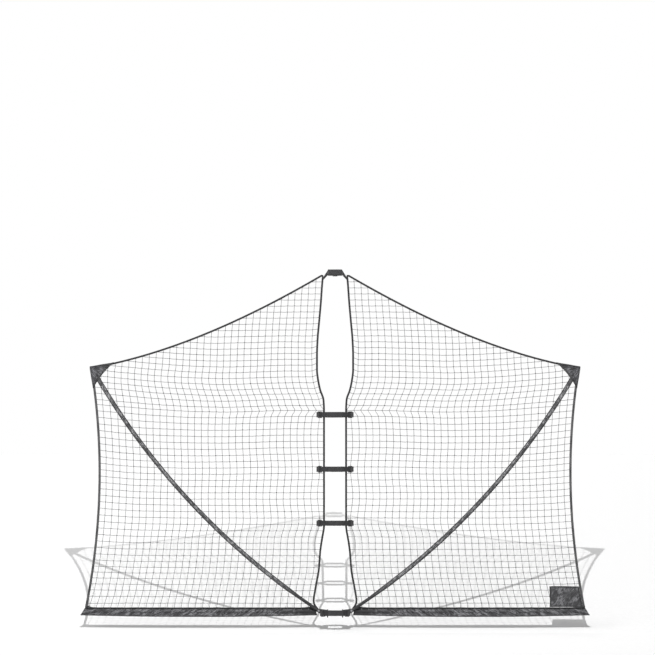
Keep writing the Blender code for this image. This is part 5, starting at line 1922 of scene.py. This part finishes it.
@dataclass
class FootHem(WingPart):
    """The tape that joins the net's lowest strands to the band."""

    start: float = 0.142
    top: float = 0.0430
    bottom: float = 0.0330
    band_depth: float = 0.0095
    thickness: float = 0.0011
    step: float = 0.008

    def profile(self) -> list[Pair]:
        """Return the tape's ring as (depth, height) pairs: down its front, then up its back."""
        top, bottom, depth, thickness = self.top, self.bottom, self.band_depth, self.thickness
        return [
            (-0.0022, top), (-0.0026, top - 0.0045), (0.0030, bottom + 0.0025), (depth, bottom),
            (depth + thickness, bottom + thickness), (0.0036, bottom + 0.0040), (-0.0012, top - 0.0036),
            (-0.0009, top),
        ]

    def build(self) -> None:
        """Build the tape and its stitches."""
        end = self.edge.outer(self.top) - 0.004
        reaches = evenly(self.start, end, round((end - self.start) / self.step))
        rings, row = [], []
        for reach in reaches:
            wave = 0.0012 * soft_noise((reach * self.side.value, 0, 0), 0.05, 51.0)
            rings.append([self.at(reach, y + wave * 0.5, z + wave) for y, z in self.profile()])
            row.append(self.at(reach, -0.0030 + wave * 0.5, self.top - 0.0025 + wave))
        mesh = close_rings("foot_tape", rings, distances(rings[0], closed=True), reaches)
        self.cloth("foot_tape", mesh, "arm")
        self.sew("foot_tape_stitches", [row[1:-1]], "arm")


@dataclass
class PlainPatch(WingPart):
    """The blank cloth panel sewn over the right wing's lower outer corner."""

    inset: float = 0.253
    low: float = 0.0448
    height: float = 0.1532
    depth: float = 0.0030
    thickness: float = 0.0011
    crumple: float = 0.0012
    side_gap: float = 0.0094
    border_inset: float = 0.0030
    border_half: float = 0.0050
    border_thick: float = 0.0011
    thread_lift: float = 0.0004
    columns: int = 56
    rows: int = 40
    seams: Pair = (0.045, 0.065)

    def spot(self, u: float, v: float) -> Vector:
        """Return the flat place at shares across and up the patch."""
        z = self.low + self.height * v
        left = self.edge.foot_reach - self.inset + 0.0015 * math.sin(v * 5.0)
        right = self.edge.outer(z) - self.side_gap
        return Vector((left + (right - left) * u, z + 0.0012 * math.sin(u * 4.4)))

    def surface(self, u: float, v: float, proud: float) -> Vector:
        """Return a point of the patch's cloth.

        Args:
            u: the share across.
            v: the share up.
            proud: how far it stands out from the cloth's middle.

        Returns:
            The point.
        """
        spot = self.spot(u, v)
        place = (spot.x * 0.8 + spot.y * 0.7, spot.y * 2.6 - spot.x * 0.9, 0)
        crease = soft_noise(place, 0.04, 3.3) + 0.5 * soft_noise(place, 0.015, 6.6)
        calm = smooth_step(0, 0.12, u) * smooth_step(1, 0.88, u)
        calm *= smooth_step(0, 0.14, v) * smooth_step(1, 0.86, v)
        return self.at(spot.x, -self.depth - proud + self.crumple * crease * calm, spot.y)

    def panel(self) -> tuple[Mesh, float]:
        """Return the panel's mesh, with a front, a back and a rim, and the area of one side."""
        bm = bmesh.new()
        layer = bm.loops.layers.uv.new("UVMap")
        across, up = evenly(0.0, 1.0, self.columns), evenly(0.0, 1.0, self.rows)
        front, back = (
            [[bm.verts.new(self.surface(u, v, proud)) for u in across] for v in up]
            for proud in (self.thickness / 2, -self.thickness / 2)
        )
        for grid in (front, back):
            for low, high in zip(grid, grid[1:]):
                for i in range(self.columns):
                    bm.faces.new((low[i], low[i + 1], high[i + 1], high[i]))
        rims = [
            [*grid[0], *[row[-1] for row in grid[1:]], *grid[-1][-2::-1], *[row[0] for row in grid[-2:0:-1]]]
            for grid in (front, back)
        ]
        for k in range(len(rims[0])):
            bm.faces.new((rims[0][k - 1], rims[0][k], rims[1][k], rims[1][k - 1]))
        for face in bm.faces:
            for loop in face.loops:
                loop[layer].uv = (loop.vert.co.x, loop.vert.co.z)
        area = sum(face.calc_area() for face in bm.faces) / 2
        return finished(bm, "patch"), area

    def outline(self, corners: Sequence[Pair], count: int) -> list[list[Pair]]:
        """Return the four sides of a frame on the patch.

        Args:
            corners: its corners, as shares across and up.
            count: the number of stretches in a side.

        Returns:
            The places along each side.
        """
        shares = evenly(0.0, 1.0, count)
        return [
            [(a + (c - a) * share, b + (d - b) * share) for share in shares]
            for (a, b), (c, d) in zip(corners, [*corners[1:], corners[0]])
        ]

    def build(self) -> None:
        """Build the patch, its bound border and its stitches."""
        mesh, area = self.panel()
        piece = self.cloth("patch_cloth", mesh, "arm", self.kit.finishes.patch, "patch")
        width = max(self.spot(1, v).x - self.spot(0, v).x for v in evenly(0.0, 1.0, 8))
        self.name("foot_tape")
        self.name("net_twine")
        frame = self.outline([(0.012, 0.02), (0.988, 0.02), (0.988, 0.98), (0.012, 0.98)], 24)
        line = [place for side in frame for place in side[:-1]]
        rings = []
        for u, v in line:
            middle = self.surface(u, v, self.thickness * 0.5)
            toward = (self.surface(0.5, 0.5, 0) - middle).normalized()
            middle += toward * self.border_inset
            rings.append(oval(middle, toward * self.border_half, FRONT * self.border_thick, 8))
        marks = distances([self.surface(u, v, 0) for u, v in line], closed=True)
        border = close_rings("border", rings, evenly(0.0, 0.0144, 8), marks, closed=True)
        self.cloth("patch_border", border, "arm")
        rows = []
        for inset in self.seams:
            low, right, high = inset * 1.5, 1 - inset, 1 - inset * 1.5
            for side in self.outline([(inset, low), (right, low), (right, high), (inset, high)], 30):
                rows.append([self.surface(u, v, self.thickness / 2 + self.thread_lift) for u, v in side])
        self.sew("patch_stitches", rows, "arm")


# Straps


def rounded(corners: Sequence[Sequence[float]], radius: float, steps: int = 6) -> list[Vector]:
    """Round every inner corner of a plan path with an arc.

    Args:
        corners: the path's corners.
        radius: the arcs' radius.
        steps: the number of stretches in an arc.

    Returns:
        The rounded path.
    """
    points = [Vector(corner) for corner in corners]
    path = [points[0]]
    for before, corner, after in zip(points, points[1:], points[2:]):
        arrive, leave = (corner - before).normalized(), (after - corner).normalized()
        turn = abs(arrive.angle_signed(leave))
        if turn < math.radians(2):
            path.append(corner)
            continue
        start = corner - arrive * (radius * math.tan(turn / 2))
        side = 1 if arrive.x * leave.y - arrive.y * leave.x > 0 else -1
        centre = start + quarter_turn(arrive) * radius * side
        angles = evenly(0.0, side * turn, steps)
        path += [centre + Matrix.Rotation(angle, 2) @ (start - centre) for angle in angles]
    return [*path, points[-1]]


def wrapped(start: Vector, centre: Vector, radius: float, fold: float) -> list[Vector]:
    """Run a plan path from start round a bar and back beside itself.

    Args:
        start: where the path comes from.
        centre: the bar's middle.
        radius: how far the webbing's middle stands from the bar's.
        fold: the length of the sewn end beyond the bar.

    Returns:
        The path from where it touches the bar to its end.
    """
    line = centre - start
    lean = math.asin(radius / line.length)
    reach = math.sqrt(line.length ** 2 - radius ** 2)
    touch = start + Matrix.Rotation(lean, 2) @ (line / line.length) * reach
    turn = math.pi + 2 * lean
    path = [centre + Matrix.Rotation(angle, 2) @ (touch - centre) for angle in evenly(0.0, -turn, 12)]
    leave = Matrix.Rotation(-turn, 2) @ (touch - start).normalized()
    return [*path, path[-1] + leave * fold]


@dataclass
class StrapSet:
    """The webbing straps round the mount, sewn at their buckle bars, and the top strap's tabs."""

    kit: Kit
    mount: float = 0.0508
    corner: float = 0.006
    seat: float = 0.0003
    width: float = 0.038
    thickness: float = 0.0018
    levels: tuple[tuple[str, float], ...] = (("lower", 0.662), ("middle", 1.060), ("upper", 1.462))
    top_level: float = 2.515
    buckle_length: float = 0.031
    bar: float = 0.005
    slot: float = 0.0055
    tail: float = 0.006
    mid_bar_side: float = 0.096602
    mid_plate: float = 0.0025
    mid_front: float = 0.01125
    base_bar_side: float = 0.0715
    base_front: float = 0.030
    lug: Pair = (0.086, 0.030)
    lug_thickness: float = 0.005
    fold: float = 0.007
    base_fold: float = 0.014
    pitch: float = 0.0022
    tab_drop: float = 0.013
    tab_end: float = 0.024
    tab_clear: float = 0.0074
    tab_length: float = 0.036
    box_place: float = 0.62
    box_lift: float = 0.0014

    @property
    def face(self) -> float:
        """Return how far a strap's middle stands from the mount's axis."""
        return self.mount + self.seat + self.thickness / 2

    def front_plan(self, bar_side: float, front: float) -> list[Vector]:
        """Return the right half of a front strap's path in plan.

        Args:
            bar_side: where its buckle's bar begins.
            front: how far forward the buckle stands.

        Returns:
            The path from the middle of the mount's front.
        """
        throat = -front - self.seat - self.thickness / 2
        end = bar_side + self.buckle_length + self.tail
        slot = bar_side + self.bar + self.slot
        corners = [(0, -self.face), (self.face, -self.face), (slot, throat), (end, throat)]
        return rounded(corners, self.corner)

    def back_plan(self, bar: Pair, depth: float, fold: float) -> list[Vector]:
        """Return the right half of a back strap's path in plan.

        Args:
            bar: the middle of the bar that it goes round.
            depth: the bar's depth.
            fold: the length of its sewn end.

        Returns:
            The path from the middle of the mount's back.
        """
        face = self.face
        radius = math.hypot(self.bar / 2, depth / 2) + self.seat + self.thickness / 2
        wrap = wrapped(Vector((face, face)), Vector(bar), radius, fold)
        return [*rounded([(0, face), (face, face), wrap[0]], self.corner)[:-1], *wrap]

    def webbing(self, name: str, half: Path, level: float) -> None:
        """Build one strap from the right half of its path; its name has webbing for strap."""
        path = [*[Vector((-point.x, point.y)) for point in reversed(half)][:-1], *half]
        self.ribbon(name, resample(path, self.pitch), level, name.replace("webbing", "strap"), closed=False)

    def ribbon(self, name: str, path: Path, level: float, node: str, closed: bool) -> None:
        """Build upright webbing with rounded edges along a plan path.

        Args:
            name: the piece's name.
            path: the plan path.
            level: the height of its middle.
            node: the CAD node that it replaces.
            closed: whether the path closes on itself.
        """
        section = self.section()
        rings = []
        for point, run in zip(path, directions(path, closed)):
            normal = quarter_turn(run)
            rise = level + 0.0005 * soft_noise((point.x, point.y, level), 0.03, 13.0)
            rings.append([
                Vector((point.x + normal.x * out, point.y + normal.y * out, rise + up)) for out, up in section
            ])
        around = distances([Vector(pair) for pair in section], closed=True)
        mesh = close_rings(name, rings, around, distances(path, closed), closed=closed)
        mesh_object(name, mesh, self.kit.finishes.webbing, ROOT, WEBBING, node)

    def section(self) -> list[Pair]:
        """Return the webbing's section as (out, up) pairs, with turned edges."""
        half, thick = self.width / 2, self.thickness / 2
        rim = [(1, 0.35), (0.97, 0.85), (0.92, 1.0), (0.8, 0.86), (0.55, 0.84), (0.28, 0.84)]
        pairs = [*[(-up, swell) for up, swell in rim], (0, 0.84), *reversed(rim)]
        near = [(-thick * swell, half * up) for up, swell in pairs]
        return [*near, *[(-out, up) for out, up in reversed(near)]]

    def stitch_box(self, name: str, centre: Vector, run: Vector, size: Pair) -> None:
        """Sew a crossed box of stitches on upright webbing.

        Args:
            name: the stitches' name.
            centre: the box's middle, on the webbing's face.
            run: the direction along the webbing.
            size: the box's length and height.
        """
        along, up = run * (size[0] / 2), Vector((0, 0, size[1] / 2))
        a, b, c, d = centre - along - up, centre + along - up, centre + along + up, centre - along + up
        lines = [[a, b], [b, c], [c, d], [d, a], [a, c], [b, d]]
        fine = [[p.lerp(q, k / 8) for k in range(9)] for p, q in lines]
        self.kit.sew(name, fine, ROOT, WEBBING, 0.0026, 0.0019, 0.00038)

    def build(self) -> None:
        """Build every strap, the top strap and its corner tabs."""
        self.webbing("base_webbing_front", self.front_plan(self.base_bar_side, self.base_front), 0.0)
        self.webbing("base_webbing_back", self.back_plan(self.lug, self.lug_thickness, self.base_fold), 0.0)
        bar = (self.mid_bar_side + self.bar / 2, -self.mid_front + self.mid_plate / 2)
        front = self.front_plan(self.mid_bar_side, self.mid_front)
        back = self.back_plan(bar, self.mid_plate, self.fold)
        for label, level in self.levels:
            self.webbing(f"{label}_webbing_front", front, level)
            self.webbing(f"{label}_webbing_back", back, level)
            for side in Side:
                a, b = (Vector((side.value * x, y)) for x, y in ((self.face, self.face), bar))
                run = (b - a).normalized()
                spot = a + (b - a) * self.box_place + quarter_turn(run) * (side.value * self.box_lift)
                name = f"{side.label}_{label}_webbing_stitches"
                self.stitch_box(name, spot.to_3d() + Vector((0, 0, level)), run.to_3d(), (0.018, 0.026))
        face = self.face
        corners = [(0, -face), (face, -face), (face, face), (-face, face), (-face, -face), (0, -face)]
        self.ribbon(
            "top_webbing", resample(rounded(corners, self.corner), self.pitch)[:-1], self.top_level,
            "top_strap", closed=True,
        )
        for side in Side:
            self.tab(side)

    def tab(self, side: Side) -> None:
        """Build the tab from the top strap towards one wing, and its stitches.

        Args:
            side: the wing.
        """
        start = self.face + self.thickness / 2 + self.seat
        end_top = self.kit.outline.top - self.tab_drop
        lines = []
        for near, far in ((-self.width / 2, end_top - self.tab_end), (self.width / 2, end_top)):
            end = Vector((self.kit.outline.inner(far) - self.tab_clear, far))
            lines.append((Vector((start, self.top_level + near)), end))
        parts = evenly(0.0, 1.0, 24)
        rings = []
        for part in parts:
            bottom, top = (a.lerp(b, part) for a, b in lines)
            spots = [(out, bottom.lerp(top, up / self.width + 0.5)) for out, up in self.section()]
            rings.append([Vector((side.value * spot.x, out * 1.2, spot.y)) for out, spot in spots])
        around = distances([Vector(pair) for pair in self.section()], closed=True)
        mesh = close_rings("tab", rings, around, [part * self.tab_length for part in parts])
        node = f"{side.label}_corner_tab"
        mesh_object(f"{side.label}_tab_webbing", mesh, self.kit.finishes.webbing, ROOT, WEBBING, node)
        middle = Vector((side.value * (start + 0.020), -0.0017, self.top_level - 0.016))
        run = Vector((side.value * 0.8, 0, -0.6)).normalized()
        self.stitch_box(f"{side.label}_tab_stitches", middle, run, (0.018, 0.014))


# Stage


@dataclass
class Studio:
    """Plain pale paper, lamps and the camera."""

    floor_height: float = -0.144
    floor_reach: float = 30.0
    slope: float = 0.2735
    slope_reach: float = 5.2
    camera_place: tuple[float, float, float] = (-0.0557, -20.0, 0.756)
    pitch: float = math.radians(2.5)
    shift: float = 0.0987
    lens: float = 148.9
    fill_light: float = 0.40

    def build(self) -> None:
        """Build the floor, the world, the lamps and the camera."""
        self.floor()
        self.world()
        self.lamps()
        self.camera()

    def floor(self) -> None:
        """Build the paper: flat in front, sloping up behind, where the object's shadow falls."""
        mesh = bpy.data.meshes.new("studio_paper")
        rows = [(-self.floor_reach, 0.0), (0.0, 0.0), (self.slope_reach, self.slope * self.slope_reach)]
        sides = (-self.floor_reach, self.floor_reach)
        points = [(x, y, self.floor_height + z) for y, z in rows for x in sides]
        mesh.from_pydata(points, [], [(0, 1, 3, 2), (2, 3, 5, 4)])
        mesh.materials.append(Backdrop().build())
        floor = bpy.data.objects.new("studio_paper", mesh)
        bpy.context.collection.objects.link(floor)

    def world(self) -> None:
        """Show white to the camera, to gloss and through gaps, and light the object softly."""
        world = bpy.data.worlds.new("studio")
        bpy.context.scene.world = world
        world.use_nodes = True
        world.node_tree.nodes.clear()
        sky = TreeBuilder(world.node_tree)
        shown = sky.rays("Camera", "Glossy", "Transmission")
        inputs = {"To Min": self.fill_light, "To Max": 1.0, "Value": shown}
        level = sky.node("ShaderNodeMapRange", inputs=inputs)
        inputs = {"Color": (1.0, 1.0, 1.0, 1.0), "Strength": level}
        glow = sky.node("ShaderNodeBackground", inputs=inputs)
        sky.fill(sky.tree.nodes.new("ShaderNodeOutputWorld"), {"Surface": glow})

    def lamps(self) -> None:
        """Hang a small lamp in front, which throws the shadow, and two soft ones."""
        for name, place, target, size, power in (
            ("shadow_lamp", SHADOW_LAMP, (0, 0, 0.9), 0.07, 1300.0),
            ("side_lamp", (-5.5, -5.0, 5.0), (0, 0, 1.0), 4.0, 120.0),
            ("back_lamp", (0.0, 11.0, 6.0), (0, 0, 1.2), 3.0, 80.0),
        ):
            data = bpy.data.lights.new(name, "AREA")
            data.size, data.energy = size, power
            lamp = bpy.data.objects.new(name, data)
            lamp.location = place
            lamp.rotation_euler = (Vector(target) - Vector(place)).to_track_quat("-Z", "Y").to_euler()
            bpy.context.collection.objects.link(lamp)

    def camera(self) -> None:
        """Place the camera in front, a long way off, tilted up a little."""
        data = bpy.data.cameras.new("camera")
        data.lens, data.sensor_width, data.sensor_fit = self.lens, 36.0, "HORIZONTAL"
        data.shift_y, data.clip_end = self.shift, 100.0
        camera = bpy.data.objects.new("camera", data)
        camera.location = self.camera_place
        camera.rotation_euler = (math.pi / 2 + self.pitch, 0, 0)
        bpy.context.collection.objects.link(camera)
        bpy.context.scene.camera = camera


def dress_fittings(frame: dict[str, Any], finishes: Finishes) -> None:
    """Give every CAD node that stays its finish.

    Args:
        frame: the loaded frame.
        finishes: the object's materials.
    """
    kinds = {
        ("hub", "socket", "buckle", "lever", "slide"): finishes.plastic, ("pin",): finishes.steel,
        ("rod_inner", "rod_outer"): finishes.rod, ("end_cap",): finishes.rubber,
    }
    for name, node in frame["nodes"].items():
        for endings, material in kinds.items():
            if name.endswith(endings) and not node.hide_render:
                for slot in node.material_slots:
                    slot.material = material
                LOG.info("%s: %s", name, material.name)


def main(frame: dict[str, Any]) -> None:
    """Build every sub-assembly.

    Args:
        frame: the loaded frame.
    """
    bpy.context.scene.view_settings.view_transform = "Standard"
    Studio().build()
    finishes = Finishes()
    trees = netting_tree(finishes.twine, finishes.knot), stitching_tree(finishes.thread)
    kit = Kit(WingOutline(), finishes, *trees)
    for side in Side:
        for part in (Netting, EdgeCord, SparSleeve, BottomBand, CornerPocket, FootHem):
            part(side, kit).build()
        if side is Side.RIGHT:
            PlainPatch(side, kit).build()
    StrapSet(kit).build()
    dress_fittings(frame, finishes)


if __name__ == "__main__":
    logging.basicConfig(level=logging.INFO, format="%(message)s")
    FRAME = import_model()
    main(FRAME)
